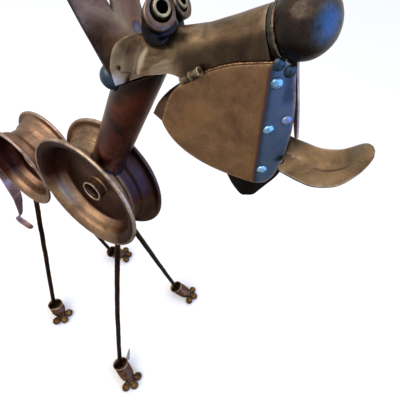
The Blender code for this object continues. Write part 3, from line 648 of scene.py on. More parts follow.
def rimOutline(radius, halfWidth, reach):
    wall, lip, disc, hub, bore, edge, cove = (
        rimShape[key] for key in ("wall", "lip", "discHalf", "hub", "bore", "discEdge", "cove"))
    outer = [(radius * r, halfWidth * a, fillet) for r, a, fillet in rimShape["valley"]]
    roll = [(radius - lip + lip * math.cos(math.radians(degrees)),
             halfWidth - lip + lip * math.sin(math.radians(degrees)), 0.0015)
            for degrees in (-100, -55, -15, 25, 60, 95, 130)]
    inner = [(r - wall, a + 0.4 * wall, fillet) for r, a, fillet in outer[:0:-1]]
    inner[0] = (outer[-1][0] - 0.2 * wall, outer[-1][1] + wall, 0.010)
    return (outer + roll + inner
            + [(radius * edge, disc, cove), (hub, disc, 0.003), (hub, reach, 0.0014),
               (bore, reach, 0.0020), (bore + 0.001, reach - 0.004, 0)])


def wellRadius(rimRadius, halfWidth, side):
    # the rim's outer skin between its flanges, at a distance from the rim's middle
    across = abs(side) / halfWidth
    last = (rimShape["valley"][0][0], 0)
    for radius, place, _ in rimShape["valley"]:
        if across <= place:
            part = (across - last[1]) / (place - last[1])
            return rimRadius * (last[0] + part * (radius - last[0]))
        last = (radius, place)
    return rimRadius * last[0]


def paintRim(bm, axle, radius, halfWidth, reach, litWay):
    # painted shade in the dish away from its lit side and in the hub, a painted highlight along the
    # ridge round the disc, painted blue reflection and painted shade on the far flange by the neck
    on = layersOf(bm)
    hub, bore = rimShape["hub"], rimShape["bore"]
    ridge = rimShape["ridge"] * radius
    bmesh.ops.recalc_face_normals(bm, faces=bm.faces[:])
    bm.normal_update()
    for vertex in bm.verts:
        away = vertex.co - axle
        across = abs(away.y)
        out = math.hypot(away.x, away.z)
        rises = (vertex.normal.x * away.x + vertex.normal.z * away.z) / max(out, 0.001)
        outward = math.copysign(vertex.normal.y, vertex.normal.y * away.y)
        if out < radius - 0.0045 and rises < 0.4 and outward > -0.3:
            # painted shade over the dish, lifted on the side the light falls on
            turn = (away.x * litWay[0] + away.z * litWay[1]) / max(out, 0.001)
            lit = eased(0.35, 0.80, turn) * eased(ridge - 0.004, ridge + 0.001, out)
            dark = 1 - 0.30 * eased(0.55, -0.6, turn) * eased(ridge, 0.3 * ridge, out)
            dark *= 1 - lit
            # painted shade on the hub's wall back from its end and in its bore
            if out < hub + 0.001:
                dark = 0.9 * eased(reach - 0.004, reach - 0.011, across)
            if out < bore + 0.0009 and across < reach - 0.0008:
                dark = 1
            vertex[on.grime] = max(vertex[on.grime], dark)
            # painted highlight along the ridge round the disc; the edge wear is kept mostly on the lit
            # side, as painted highlight
            gap = math.hypot(out - ridge, 1.4 * (across - 0.005))
            facing = eased(0.3, 0.8, turn)
            old = vertex[on.wear] * (1 if out < 0.03 else 0.2 + 0.8 * facing)
            vertex[on.wear] = max(old, 0.5 * facing * math.exp(-(gap / 0.0018)**2))
        # painted blue reflection and painted shade on the far flange, right of the neck
        elif away.y > -0.3 * halfWidth and radius > 0.1:
            beyond = eased(-0.3 * halfWidth, 0, away.y)
            vertex[on.temper] = 0.66 * beyond * eased(0.020, 0.040, away.x) * eased(-0.02, 0.03, away.z)
            vertex[on.grime] = 0.80 * beyond * eased(0.012, 0.030, away.x)


for node, name, radius, halfWidth, axle, reach, material, litWay in rims:
    half = rimOutline(radius, halfWidth, reach)
    whole = half + [(r, -a, fillet) for r, a, fillet in half[::-1]]
    bm = bmesh.new()
    turned(bm, rounded(whole, 0.0035), axle, leftward, rimShape["sides"])
    paintRim(bm, axle, radius, halfWidth, reach, litWay)
    dented(bm, 0.0005, 0.045, radius)
    makePiece(name, bm, material, (node,), sharp=60)
print("rims made")


neckShape = {"radius": 0.027, "wall": 0.003, "foot": Vector((0.039, 0, 0.727)),
             "top": Vector((0.1065, 0, 0.8828)), "mitre": 0.0088, "sides": 96, "rows": 40,
             "heatReach": 0.010, "sootReach": 0.024}
napeShape = {"radius": 0.0150, "half": 0.0350, "sides": 56}
earShape = {"lean": Vector((-0.4415, 0, 0.8973)), "foot": Vector((0.1014, 0, 0.8958)),
            "back": Vector((-0.8973, 0, -0.4415)), "thick": 0.0022, "spacing": 0.0034,
            "notch": 0.0605, "bow": 0.1, "blueReflectionSpot": (0.026, 0.036),
            "outline": ((0.0370, 0), (0.0402, 0.0200), (0.0445, 0.0480), (0.0478, 0.0755),
                        (0.0530, 0.1070), (0.0573, 0.1350), (0.0570, 0.1600), (0.0500, 0.1840),
                        (0.0380, 0.1700), (0.0230, 0.1300), (0.0072, 0.0850), (0.0026, 0.0680))}
napeCentre = (earShape["foot"] + (earShape["thick"] + napeShape["radius"] + 0.0003) * earShape["back"]
              - 0.0008 * earShape["lean"])


def neckEnds(start, axis):
    # where one line of the pipe's wall meets the rim below and the skull or the nape roll above
    reach = wellRadius(rims[0][2], rims[0][3], start.y)
    offset = start - frontAxle
    offset.y = 0
    along = offset.dot(axis)
    foot = start + (math.sqrt(reach * reach - offset.length_squared + along * along) - along) * axis
    lift = (headPoint(0, 0, -neckShape["mitre"]) - start).dot(headUp) / axis.dot(headUp)
    toRoll = napeCentre - start
    toRoll.y = 0
    middle = toRoll.dot(axis)
    aside = toRoll.length_squared - middle * middle
    if aside < napeShape["radius"]**2:
        lift = min(lift, middle - math.sqrt(napeShape["radius"]**2 - aside))
    return foot, start + lift * axis


def makeNeck():
    s = neckShape
    axis = (s["top"] - s["foot"]).normalized()
    first, second = frameAlong(axis)
    bm = bmesh.new()
    skins = []
    for radius in (s["radius"], s["radius"] - s["wall"]):
        ends = [neckEnds(p, axis) for p in circle(s["foot"], first, second, radius, s["sides"])]
        skins.append([[a.lerp(b, k / s["rows"]) for a, b in ends] for k in range(s["rows"] + 1)])
    outer, inner = skins
    seam = [a + 0.0006 * (a - s["foot"]).normalized() for a in outer[0]]
    loft(bm, outer + inner[::-1] + outer[:1], closedEnds=False)
    bmesh.ops.remove_doubles(bm, verts=bm.verts[:], dist=0.00001)
    dented(bm, 0.0004, 0.03, 2)
    sprayed(bm, seam[::3], s["heatReach"], "temper", 0.6)
    # painted shade on the top of the tube, under the muzzle
    sprayed(bm, outer[-1][::6], s["sootReach"], "grime", 1.7)
    makePiece("neckTube", bm, neckSteel, ("neck_pipe",), edgeRound=0.0005)
    bead("weldNeckFoot", seam, 0.0017, navyWeldSteel, closed=True, pitch=0.0045)


def makeNape():
    s = napeShape
    bm = bmesh.new()
    flat = s["half"] - s["radius"]
    profile = [(0.0001, -s["half"], 0, 0)]
    for degrees in range(-80, 81, 10):
        angle = math.radians(degrees)
        reach = math.copysign(flat, degrees) if degrees else 0
        profile.append((s["radius"] * math.cos(angle), reach + s["radius"] * math.sin(angle), 0, 0))
    profile.append((0.0001, s["half"], 0, 0))
    turned(bm, profile, napeCentre, leftward, s["sides"])
    dented(bm, 0.0004, 0.012, 5)
    makePiece("napeRoll", bm, napeSteel, ("nape_roll",))


def earPoint(side, height):
    bow = earShape["bow"] * side * side
    return earShape["foot"] + side * leftward + height * earShape["lean"] + bow * earShape["back"]


def makeEars():
    s = earShape
    half = smoothCurve(s["outline"], 5)
    outline = half + [(0, s["notch"])] + [(-y, h) for y, h in half[::-1]]
    bm = bmesh.new()
    sheetOf(bm, outline, s["spacing"], earPoint, s["thick"], -s["back"])
    dented(bm, 0.0004, 0.035, 8)
    on = layersOf(bm)
    for vertex in bm.verts:
        # the cut edge is blued, not rubbed
        vertex[on.grime] = 0.9 * vertex[on.wear]
        vertex[on.wear] = 0
        height = (vertex.co - s["foot"]).dot(s["lean"])
        vertex[on.polish] = 0.7 * eased(0.045, 0.005, height)
    # painted blue reflection on the ear next to the eye, laid with the heat ramp
    sprayed(bm, [earPoint(*s["blueReflectionSpot"])], 0.014, "temper", 0.98)
    makePiece("earSheet", bm, earSteel, ("ears",), sharp=50, edgeRound=0.0006)
    seam = [earPoint(side, 0.0004) + 0.0036 * s["back"] for side in (-0.034, -0.017, 0, 0.017, 0.034)]
    bead("weldNape", seam, 0.0022, weldSteel)


makeNeck()
makeNape()
makeEars()
print("neck, nape and ears made")


# muzzle: an arch of sheet, open below, its rear end beaten out into two side lobes
muzzleShape = {"radius": 0.021, "length": 0.160, "sheet": 0.0022, "across": 112, "stations": 96,
               "archShare": 0.7, "flareShare": 0.22, "crownRise": 0.15, "ease": 1.15,
               # share of the half sheet from the crown down, then along, side, up and flare length
               "rearEdge": ((0, 0.0367, 0, 0.0305, 0.0040), (0.15, 0.0345, 0.0110, 0.0305, 0.0045),
                            (0.28, 0.0290, 0.0215, 0.0322, 0.0052),
                            (0.40, 0.0185, 0.0300, 0.0325, 0.0084),
                            (0.50, 0.0095, 0.0352, 0.0292, 0.0112), (0.60, 0, 0.0371, 0.0210, 0.0121),
                            (0.70, -0.0066, 0.0375, 0.0120, 0.0101),
                            (0.85, -0.0100, 0.0375, 0.0030, 0.0083),
                            (1, -0.0112, 0.0372, -0.0068, 0.0050)),
               "lowerEdge": ((-0.012, -0.0085), (0.0143, -0.0065), (0.028, -0.0067), (0.040, -0.0081),
                             (0.052, -0.0093), (0.062, -0.0136), (0.067, -0.0181), (0.085, -0.0205),
                             (0.160, -0.0160))}
# hammered folds in each lobe: start and end as (along, up), height and width
lobeFolds = (((0.0235, 0.0290), (-0.0010, 0.0040), -0.0010, 0.0024),
             ((0.0150, 0.0300), (-0.0060, 0.0110), 0.0009, 0.0030),
             ((0.0170, 0.0010), (0.0667, 0.0005), 0.0005, 0.0016))
lobeSlot = {"middle": Vector((-0.0027, 0.0084)), "way": Vector((0.6, 0.8)), "half": (0.0026, 0.0012),
            "depth": 0.0030}
# the ridge in front of the lobe carries a painted highlight, the crease behind it painted shade, and the
# bend stands above the paler lower panel
lobeCrease = ((0.0270, 0.0195), (0.0170, 0.0100), (0.0080, -0.0017))
highlightRidge = ((0.0315, 0.0165), (0.0220, 0.0092), (0.0117, -0.0017))
panelBend = ((0.0298, 0), (0.0440, 0.0025), (0.0543, 0.0039), (0.0667, -0.0005))


def crownHeight(along):
    return muzzleShape["radius"] + muzzleShape["crownRise"] * min(0.065, max(0, 0.100 - along))


def muzzlePoint(around, ahead):
    s = muzzleShape
    turn = abs(around)
    rear, edgeSide, edgeUp, flare = readCurve(s["rearEdge"], turn)
    if ahead <= s["flareShare"]:
        along = rear + flare * ahead / s["flareShare"]
    else:
        rest = (ahead - s["flareShare"]) / (1 - s["flareShare"])
        along = rear + flare + (s["length"] - rear - flare) * rest**s["ease"]
    if turn < s["archShare"]:
        angle = turn / s["archShare"] * math.pi / 2
        side = s["radius"] * math.sin(angle)
        up = crownHeight(along) * math.cos(angle)
    else:
        side = s["radius"]
        up = readCurve(s["lowerEdge"], along)[0] * (turn - s["archShare"]) / (1 - s["archShare"])
    share = max(0, 1 - (along - rear) / flare)**s["ease"]
    side += share * (edgeSide - side)
    up += share * (edgeUp - up)
    return along, math.copysign(side, around), up


def muzzleHighlightAndPanel(along, up):
    # painted highlight on the beaten lobe and along its ridge, and the paler panel below the bend
    ridge = lineDistance((along, up), highlightRidge)
    wide = 0.0024 + 0.0028 * eased(-0.002, 0.008, up) * eased(0.030, 0.022, along)
    polish = max(0.95 * math.exp(-(ridge / wide)**2), 0.26 * eased(0.016, 0.008, along))
    if 0.024 < along < 0.068:
        bend = readCurve(panelBend, max(along, panelBend[0][0]))[0]
        pale = eased(0.024, 0.032, along) * eased(0.068, 0.050, along)
        polish = max(polish, 0.34 * pale * eased(0.0008, -0.0008, up - bend))
    return polish


def makeMuzzle():
    s = muzzleShape
    bm = bmesh.new()
    on = layersOf(bm)
    grid = []
    for k in range(s["stations"] + 1):
        row = []
        for i in range(s["across"] + 1):
            around, ahead = 2 * i / s["across"] - 1, k / s["stations"]
            turn = abs(around)
            along, side, up = muzzlePoint(around, ahead)
            lift = 0
            for start, end, height, width in lobeFolds:
                lift += height * math.exp(-(lineDistance((along, up), (start, end)) / width)**2)
            side += math.copysign(lift, side) * min(1, turn / 0.3)
            vertex = bm.verts.new(headPoint(along, side, up))
            offset = Vector((along, up)) - lobeSlot["middle"]
            slot = math.hypot(offset.dot(lobeSlot["way"]) / lobeSlot["half"][0],
                              offset.cross(lobeSlot["way"]) / lobeSlot["half"][1])
            # painted shade in and round the slot, whose middle is pushed in, not cut through
            hole = 0
            if slot < 1.4 and side < 0:
                hole = 1 if slot < 1.1 else 0.5
                if slot < 1:
                    vertex.co.y += lobeSlot["depth"]
            edge = min((1 - turn) * 0.05, ahead * 0.10, (1 - ahead) * 0.15)
            vertex[on.wear] = 0.8 * max(0, 1 - edge / 0.002)
            # painted shade along the lobe's crease; darker along the lower sides and towards the front
            crease = 0
            if abs(side) > 0.012:
                crease = 0.6 * math.exp(-(lineDistance((along, up), lobeCrease) / 0.0012)**2)
                vertex[on.polish] = muzzleHighlightAndPanel(along, up)
            low = 0.92 * eased(0.32, 0.68, turn) * eased(0.052, 0.074, along)
            front = 0.6 * eased(0.22, 0.5, turn) * eased(0.07, 0.13, along)
            vertex[on.grime] = max(hole, low, front, crease)
            row.append(vertex)
        grid.append(row)
    plated(bm, grid, s["sheet"], headUp)
    dented(bm, 0.0005, 0.022, 11)
    makePiece("muzzleSheet", bm, muzzleSteel, ("muzzle",), edgeRound=0.0004)


noseShape = {"radius": 0.0272, "along": 0.1835, "rise": 0.0010, "rings": 96, "sleeve": 0.0222,
             "sleeveFoot": 0.0204, "sleeveBore": 0.0166, "pitSize": 0.0021, "pitDepth": 0.0011,
             "blueReflectionWay": Vector((0.83, -0.50, 0.24)).normalized()}


def makeNose():
    s = noseShape
    bm = bmesh.new()
    centre = headPoint(s["along"], 0, s["rise"])
    bmesh.ops.create_uvsphere(bm, u_segments=s["rings"], v_segments=s["rings"] // 2,
                              radius=s["radius"], matrix=Matrix.Translation(centre))
    on = layersOf(bm)
    for vertex in bm.verts:
        out = (vertex.co - centre).normalized()
        deep = max(0, noise.noise(vertex.co / s["pitSize"] + Vector((4, 1, 7))) - 0.28)
        vertex.co -= out * (s["pitDepth"] * deep + 0.0003 * (1 + noise.noise(vertex.co / 0.009)))
        # painted blue reflection on the side towards the daylight, painted shade on the underside
        cool = out.dot(s["blueReflectionWay"]) + 0.05 * noise.noise(vertex.co / 0.006)
        vertex[on.polish] = 0.55 * eased(0.74, 0.98, cool)
        under = eased(0.15, -0.5, out.z) * eased(0.95, 0.75, cool)
        vertex[on.grime] = max(min(0.8, 2.5 * deep), under)
    makePiece("noseBall", bm, ballSteel, ("nose_ball",), sharp=80)
    seat = [(radius, s["along"] - math.sqrt(s["radius"]**2 - (radius - s["rise"])**2) - 0.0006)
            for radius in (s["sleeve"], s["sleeveBore"])]
    start = muzzleShape["length"] + 0.0003
    outline = [(*seat[0], 0.0004), (*seat[1], 0.0004), (seat[1][0], start, 0.0004),
               (s["sleeveFoot"], start, 0.0009)]
    bm = bmesh.new()
    turned(bm, rounded(outline, 0.0015), muzzleStart, headForward, 80)
    dented(bm, 0.0003, 0.006, 2.5)
    makePiece("noseCollar", bm, collarSteel, ("nose_sleeve",))
    seam = headPoint(seat[0][1] + 0.0002, 0, 0)
    ring = circle(seam, *frameAlong(headForward), s["sleeve"] - 0.0004, 64)
    bead("weldNoseCollar", ring, 0.0013, brownWeldSteel, closed=True, pitch=0.0026)


makeMuzzle()
makeNose()
print("muzzle and nose made")


# eyes: a rolled band round a short tube, each pair on a stem that stands on the muzzle
eyeShape = {"depth": 0.0115, "hole": 0.0098, "shift": 0.0028, "tube": 0.0078, "bore": 0.0053,
            "tubeDepth": 0.0105, "proud": 0.0030, "flare": 0.0018, "crown": 0.0010, "lift": 0.0017,
            "swell": 0.52, "steepest": 0.85, "stemSides": 48, "stemRings": 16}
# word, side, centre, axis and radius, then where its stem stands and how wide
eyes = (("right", -1, Vector((0.1567, -0.0268, 0.9716)), Vector((0.645, -0.488, 0.588)), 0.0145,
         (0.0510, 0.0080, 0.0130)),
        ("left", 1, Vector((0.1475, 0.0240, 0.9680)), Vector((0.840, 0.081, 0.537)), 0.0140,
         (0.0452, 0.0120, 0.0072)))


def makeEyeBand(word, side, centre, axis, radius, across):
    s = eyeShape
    bm = bmesh.new()
    half = (radius + s["hole"]) / 2
    outline = [(radius, 0, 0.0018), (radius, -s["depth"], 0.0009), (s["hole"], -s["depth"], 0.0005),
               (s["hole"], 0, 0.0011), (half, s["crown"], 0.004)]
    turned(bm, rounded(outline, 0.0015), centre, axis, 72)
    on = layersOf(bm)
    for vertex in bm.verts:
        # the hole stands off centre, so the rim is thick on one side and thin on the other
        offset = vertex.co - centre
        out = (offset - offset.dot(axis) * axis).length
        vertex.co += s["shift"] * max(0, min(1, (radius - out) / (radius - s["hole"]))) * across
        # painted shade deeper inside the band
        deep = -(vertex.co - centre).dot(axis)
        vertex[on.grime] = max(vertex[on.grime], 0.9 * eased(0.0016, 0.0040, deep))
    dented(bm, 0.0006, 0.009, 3 * side)
    makePiece("eyeBand" + word.title(), bm, eyeSteel, ("eye_band_" + word,), sharp=60)


def makeEyeTube(word, centre, axis, across):
    s = eyeShape
    middle = centre + (s["shift"] + s["hole"] - s["tube"] - 0.0006) * across
    wide = s["tube"] + s["flare"]
    outline = [(s["tube"], s["proud"], 0.0008), (wide, -0.0014, 0.002), (wide, -s["tubeDepth"], 0.0004),
               (s["bore"], -s["tubeDepth"], 0.0004), (s["bore"], s["proud"], 0.0006)]
    bm = bmesh.new()
    turned(bm, rounded(outline, 0.002), middle, axis, 56)
    on = layersOf(bm)
    for vertex in bm.verts:
        offset = vertex.co - middle
        along = offset.dot(axis)
        out = (offset - along * axis).length
        # painted shade in the bore and on the tube's wall behind its lip
        if out < s["bore"] + 0.0003 and along < s["proud"] - 0.0012:
            vertex[on.grime] = 1
        elif out > s["tube"] - 0.0004:
            vertex[on.grime] = 0.55 * eased(s["proud"], s["proud"] - 0.0012, along)
    makePiece("eyeTube" + word.title(), bm, eyeTubeSteel, ("eye_tube_" + word,), sharp=60)


def makeEyeStem(word, side, centre, axis, radius, stemAlong, stemSide, stemRadius):
    s = eyeShape
    sides = s["stemSides"]
    first, second = frameAlong(headUp)
    lower = []
    for p in circle(headPoint(stemAlong, side * stemSide, 0), first, second, stemRadius, sides):
        bulge = math.sqrt(1 - min(s["steepest"], abs(p.y) / muzzleShape["radius"])**2)
        crown = crownHeight((p - muzzleStart).dot(headForward)) * bulge
        lower.append(p + (crown + s["lift"] - 0.002) * headUp)
    head = centre - (s["depth"] + 0.0003) * axis
    upper = circle(head, *frameAlong(axis, first), radius - 0.002, sides)
    core = sum(upper, Vector()) / sides
    bm = bmesh.new()
    rings = []
    for k in range(s["stemRings"] + 1):
        t = k / s["stemRings"]
        waist = 1 + s["swell"] * math.sin(math.pi * t)
        ring = [a.lerp(b, t) for a, b in zip(lower, upper)]
        heart = sum(ring, Vector()) / sides
        rings.append([heart + waist * (p - heart) for p in ring])
    rings.append([core + 0.9 * (p - core) + 0.0004 * axis for p in upper])
    loft(bm, rings)
    dented(bm, 0.0009, 0.008, 6 * side)
    makePiece("eyeStem" + word.title(), bm, shadedStemSteel, ("eye_stem_" + word,), sharp=60)
    bead("weldEyeStem" + word.title(), [p + 0.0018 * headUp for p in lower], 0.0015, shadedStemSteel,
         closed=True, pitch=0.0026)


for word, side, centre, way, radius, stem in eyes:
    axis = way.normalized()
    across = frameAlong(axis, Vector((0, -0.6 * side, 0.8)))[0]
    makeEyeBand(word, side, centre, axis, radius, across)
    makeEyeTube(word, centre, axis, across)
    makeEyeStem(word, side, centre, axis, radius, *stem)
print("eyes made")


# jowls: side sheets that hang from the muzzle, their front bent in towards the middle
bandHead = ((0.0020, 0.9660), (0.0075, 0.9675), (0.0125, 0.9645))
jowlShape = {"sheet": 0.0022, "side": 0.021 + 0.0003 + 0.0022, "tip": (0.1583, 0.8611),
             "bendTop": (0.2652, 0.9623), "bendFoot": (0.2831, 0.8390), "turn": math.radians(42),
             "bendRadius": 0.0060, "spacing": 0.0027, "flange": 0.008, "flangeSheet": 0.0018,
             "flangeInset": 0.0011, "tabHeight": 0.9250,
             "lowerControls": ((0.1760, 0.8290), (0.2220, 0.8265)),
             "top": ((0.2652, 0.9623), (0.2450, 0.9552), (0.2248, 0.9464), (0.2045, 0.9331),
                     (0.1833, 0.9172)),
             "rear": ((0.1833, 0.9172), (0.1757, 0.9084), (0.1692, 0.8984), (0.1635, 0.8825),
                      (0.1583, 0.8611)),
             "rearEdge": ((0.1800, 0.9160), (0.1625, 0.8981), (0.1485, 0.8787), (0.1403, 0.8602)),
             # past the bend line, and height: the right jowl's band and the left one's torn tab
             "band": (*bandHead, (0.0175, 0.9622), (0.0215, 0.9590), (0.0230, 0.9504), (0.0248, 0.9419),
                      (0.0275, 0.9284), (0.0296, 0.9120), (0.0303, 0.8960), (0.0288, 0.8780),
                      (0.0251, 0.8608), (0.0197, 0.8468), (0.0120, 0.8392)),
             "tab": (*bandHead, (0.0165, 0.9535), (0.0250, 0.9367), (0.0325, 0.9220), (0.0376, 0.9101),
                     (0.0414, 0.8983), (0.0373, 0.8970), (0.0291, 0.9098), (0.0217, 0.9206),
                     (0.0060, 0.9260))}


def bendLine(height):
    (topX, topZ), (footX, footZ) = jowlShape["bendTop"], jowlShape["bendFoot"]
    return topX + (topZ - height) / (topZ - footZ) * (footX - topX)


def jowlPoint(flatX, height, side):
    # a point of the flat cut sheet, folded round the bend line
    turn, radius, gap = jowlShape["turn"], jowlShape["bendRadius"], jowlShape["side"]
    line = bendLine(height)
    past = flatX - line
    reach = radius * math.tan(turn / 2)
    if past <= -reach:
        return Vector((flatX, side * gap, height))
    if past >= reach:
        return Vector((line + past * math.cos(turn), side * (gap - past * math.sin(turn)), height))
    angle = (past + reach) / (2 * reach) * turn
    return Vector((line - reach + radius * math.sin(angle),
                   side * (gap - radius * (1 - math.cos(angle))), height))


def makeJowl(word, side):
    s = jowlShape
    lower = bezier((s["tip"], s["bendFoot"]), s["lowerControls"], 30)
    front = smoothCurve(s["band"], 3) if side < 0 else s["tab"]
    edge = [(bendLine(z) + across, z) for across, z in front]
    if side > 0:
        edge.append((bendLine(s["tabHeight"]), s["tabHeight"]))
    outline = lower + edge[::-1] + smoothCurve(s["top"], 3) + smoothCurve(s["rear"], 3)[1:-1]
    bm = bmesh.new()
    sheetOf(bm, outline, s["spacing"], lambda x, z: jowlPoint(x, z, side), s["sheet"], side * leftward)
    on = layersOf(bm)
    for vertex in bm.verts:
        # blue past the bend, a little less on the panel under the muzzle, which darkens it as painted
        # shadow of the ball
        past = vertex.co.x - bendLine(vertex.co.z)
        ballShadowPanel = eased(0.0090, 0.0125, past) * eased(0.9260, 0.9330, vertex.co.z)
        vertex[on.temper] = (0.82 - 0.16 * ballShadowPanel if side < 0 else 0.98) * eased(-0.0120, 0.0060, past)
    dented(bm, 0.0007, 0.045, 14 * side)
    makePiece("jowl" + word.title(), bm, jowlSteel, ("jowl_" + word,), sharp=50,
              edgeRound=0.0004)
    # narrow flange folded in along the rear edge
    rear, back = smoothCurve(s["rear"], 6), smoothCurve(s["rearEdge"], 8)
    bm = bmesh.new()
    rows = []
    for k in range(5):
        t = k / 4
        depth = side * (s["side"] - s["flangeInset"] - t * (s["flange"] - s["flangeInset"]))
        row = []
        for i, (x0, z0) in enumerate(rear):
            x1, z1 = back[round(i * (len(back) - 1) / (len(rear) - 1))]
            row.append(bm.verts.new((x0 + t * (x1 - x0), depth, z0 + t * (z1 - z0))))
        rows.append(row)
    plated(bm, rows, s["flangeSheet"], Vector((-0.8, side * 0.6, 0.2)))
    makePiece("jowlFlange" + word.title(), bm, pawSteel, sharp=50)
    lift = Vector((0, -side * 0.0002, 0.0012))
    seam = [Vector((x, side * s["side"], z)) + lift for x, z in s["top"]]
    bead("weldJowl" + word.title(), smoothCurve(seam, 6), 0.0008, jowlSteel)


rivetShape = {"radius": 0.0054, "height": 0.8 * 0.0032, "seat": 0.0006, "sides": 32}
# past the bend line and height, and the finish of each; the teal finish is painted shade
rivetPlaces = ((0.0056, 0.9622), (0.0064, 0.9470), (0.0163, 0.9570), (0.0224, 0.9130),
               (0.0062, 0.9034), (0.0060, 0.8572))
rivetFinish = (shadedRivetSteel, rivetSteel, shadedRivetSteel, lilacRivetSteel, rivetSteel, rivetSteel)


def makeRivet(word, side, number, across, height):
    s = rivetShape
    flat = bendLine(height) + across
    seat = jowlPoint(flat, height, side)
    out = (jowlPoint(flat + 0.001, height, side) - seat).cross(upward).normalized()
    if out.y * side < 0:
        out = -out
    profile = [(s["radius"], 0, 0.3, 0.6), (s["radius"], 0.0005, 0.3, 0)]
    for degrees in range(10, 90, 10):
        angle = math.radians(degrees)
        profile.append((0.94 * s["radius"] * math.cos(angle), s["seat"] + s["height"] * math.sin(angle),
                        0.2, 0))
    profile += [(0.0002, s["seat"] + s["height"], 0.2, 0), (0.0002, 0, 0, 0)]
    bm = bmesh.new()
    turned(bm, profile, seat, out, s["sides"])
    dented(bm, 0.0005, 0.0028, number * 1.3)
    makePiece("rivet%s%d" % (word.title(), number), bm, rivetFinish[number - 1],
              ("rivet_%s_%d" % (word, number),), sharp=70)


makeJowl("right", -1)
makeJowl("left", 1)
for word, side, places in (("right", -1, rivetPlaces), ("left", 1, rivetPlaces[:2])):
    for number, (across, height) in enumerate(places, 1):
        makeRivet(word, side, number, across, height)
print("jowls made")


# lower jaw: a pointed trough of sheet, coloured black as painted shade; ahead, height and half width
# along keel and brim
jawShape = {"sheet": 0.0022, "keelDrop": 0.0009,
            "keel": ((0.2436, 0.8248, 0.0120), (0.2557, 0.8128, 0.0125), (0.2691, 0.8030, 0.0125),
                     (0.2764, 0.8060, 0.0125), (0.2849, 0.8131, 0.0125), (0.2946, 0.8335, 0.0082),
                     (0.2996, 0.8445, 0.0040), (0.3014, 0.8530, 0.0032)),
            "brim": ((0.2400, 0.8480, 0.0209), (0.2510, 0.8440, 0.0209), (0.2630, 0.8420, 0.0209),
                     (0.2710, 0.8430, 0.0209), (0.2770, 0.8450, 0.0200), (0.2870, 0.8500, 0.0128),
                     (0.2950, 0.8550, 0.0060), (0.2988, 0.8600, 0.0028))}


def makeJaw():
    keel, brim = smoothCurve(jawShape["keel"], 5), smoothCurve(jawShape["brim"], 5)
    bm = bmesh.new()
    rows = []
    for side, t in [(-1, k / 4) for k in range(4, -1, -1)] + [(0, 0)] + [(1, k / 4) for k in range(5)]:
        drop = 0 if side else jawShape["keelDrop"]
        row = []
        for low, high in zip(keel, brim):
            x, z, half = (a + t * (b - a) for a, b in zip(low, high))
            row.append(bm.verts.new((x, side * half, z - drop)))
        rows.append(row)
    plated(bm, rows, jawShape["sheet"], -upward)
    dented(bm, 0.0006, 0.012, 4.4)
    makePiece("lowerJaw", bm, shadedJawSteel, ("lower_jaw",), sharp=42, edgeRound=0.0004)


# tongue: thick plate with a crease along it, rolled to one side, its end turned up
tongueShape = {"roll": math.radians(38), "start": Vector((0.3000, 0, 0.8745)), "sheet": 0.003,
               "crease": 0.14, "creaseEnd": (0.052, 0.068),
               # ahead and across, from the root to the tip
               "upper": ((-0.0260, 0.0034), (-0.0135, 0.0040), (-0.0105, 0.0160), (0.0053, 0.0172),
                         (0.0234, 0.0176), (0.0352, 0.0203), (0.0462, 0.0255), (0.0541, 0.0325),
                         (0.0605, 0.0390), (0.0650, 0.0412), (0.0695, 0.0408)),
               "middle": ((-0.0260, 0), (-0.0135, 0), (-0.0080, 0), (0.0053, 0), (0.0180, -0.0018),
                          (0.0346, -0.0022), (0.0450, 0.0012), (0.0545, 0.0085), (0.0640, 0.0215),
                          (0.0690, 0.0300), (0.0728, 0.0375)),
               "lower": ((-0.0260, -0.0034), (-0.0040, -0.0034), (0, -0.0060), (0.0006, -0.0190),
                         (0.0172, -0.0208), (0.0349, -0.0206), (0.0494, -0.0151), (0.0600, -0.0065),
                         (0.0690, 0.0080), (0.0738, 0.0215), (0.0748, 0.0310))}


def tonguePoint(ahead, across, middle):
    s = tongueShape
    wing = Vector((0, math.cos(s["roll"]), math.sin(s["roll"])))
    normal = Vector((0, -math.sin(s["roll"]), math.cos(s["roll"])))
    gap = abs(across - middle)
    blunt = 0.0008 + 0.006 * eased(*s["creaseEnd"], ahead)
    lift = s["crease"] * (gap * gap / (gap + blunt))
    return s["start"] + Vector((ahead, 0, 0)) + across * wing + lift * normal


def makeTongue():
    # the first point of each line is the root, which stays straight
    lines = [[tongueShape[word][0]] + smoothCurve(tongueShape[word][1:], 6)
             for word in ("lower", "middle", "upper")]
    bm = bmesh.new()
    on = layersOf(bm)
    rows = []
    for k in range(21):
        share = k / 10
        low = min(1, k // 10)
        row = []
        side = share - 1
        for a, b, m in zip(lines[low], lines[low + 1], lines[1]):
            ahead, across = (p + (share - low) * (q - p) for p, q in zip(a, b))
            vertex = bm.verts.new(tonguePoint(ahead, across, m[1]))
            speck = eased(0.15, 0.4, noise.noise(Vector((ahead, across, 0)) / 0.0022))
            inCrease = max(0, 1 - abs(side) / 0.16)
            rootHalf = eased(0.040, 0.026, ahead)
            vertex[on.wear] = max(0.7 if abs(side) > 0.96 else 0, speck * inCrease * rootHalf)
            # painted shade along the crease towards the tip and over the root
            vertex[on.grime] = max(
                0.9 * inCrease**2 * (1 - rootHalf) * (1 - eased(0.055, 0.064, ahead)),
                0.85 * eased(0.016, -0.002, ahead - 0.5 * across))
            row.append(vertex)
        rows.append(row)
    plated(bm, rows, tongueShape["sheet"], upward)
    dented(bm, 0.0005, 0.012, 9.7)
    makePiece("tonguePlate", bm, tongueSteel, ("tongue",), sharp=55, edgeRound=0.0009)


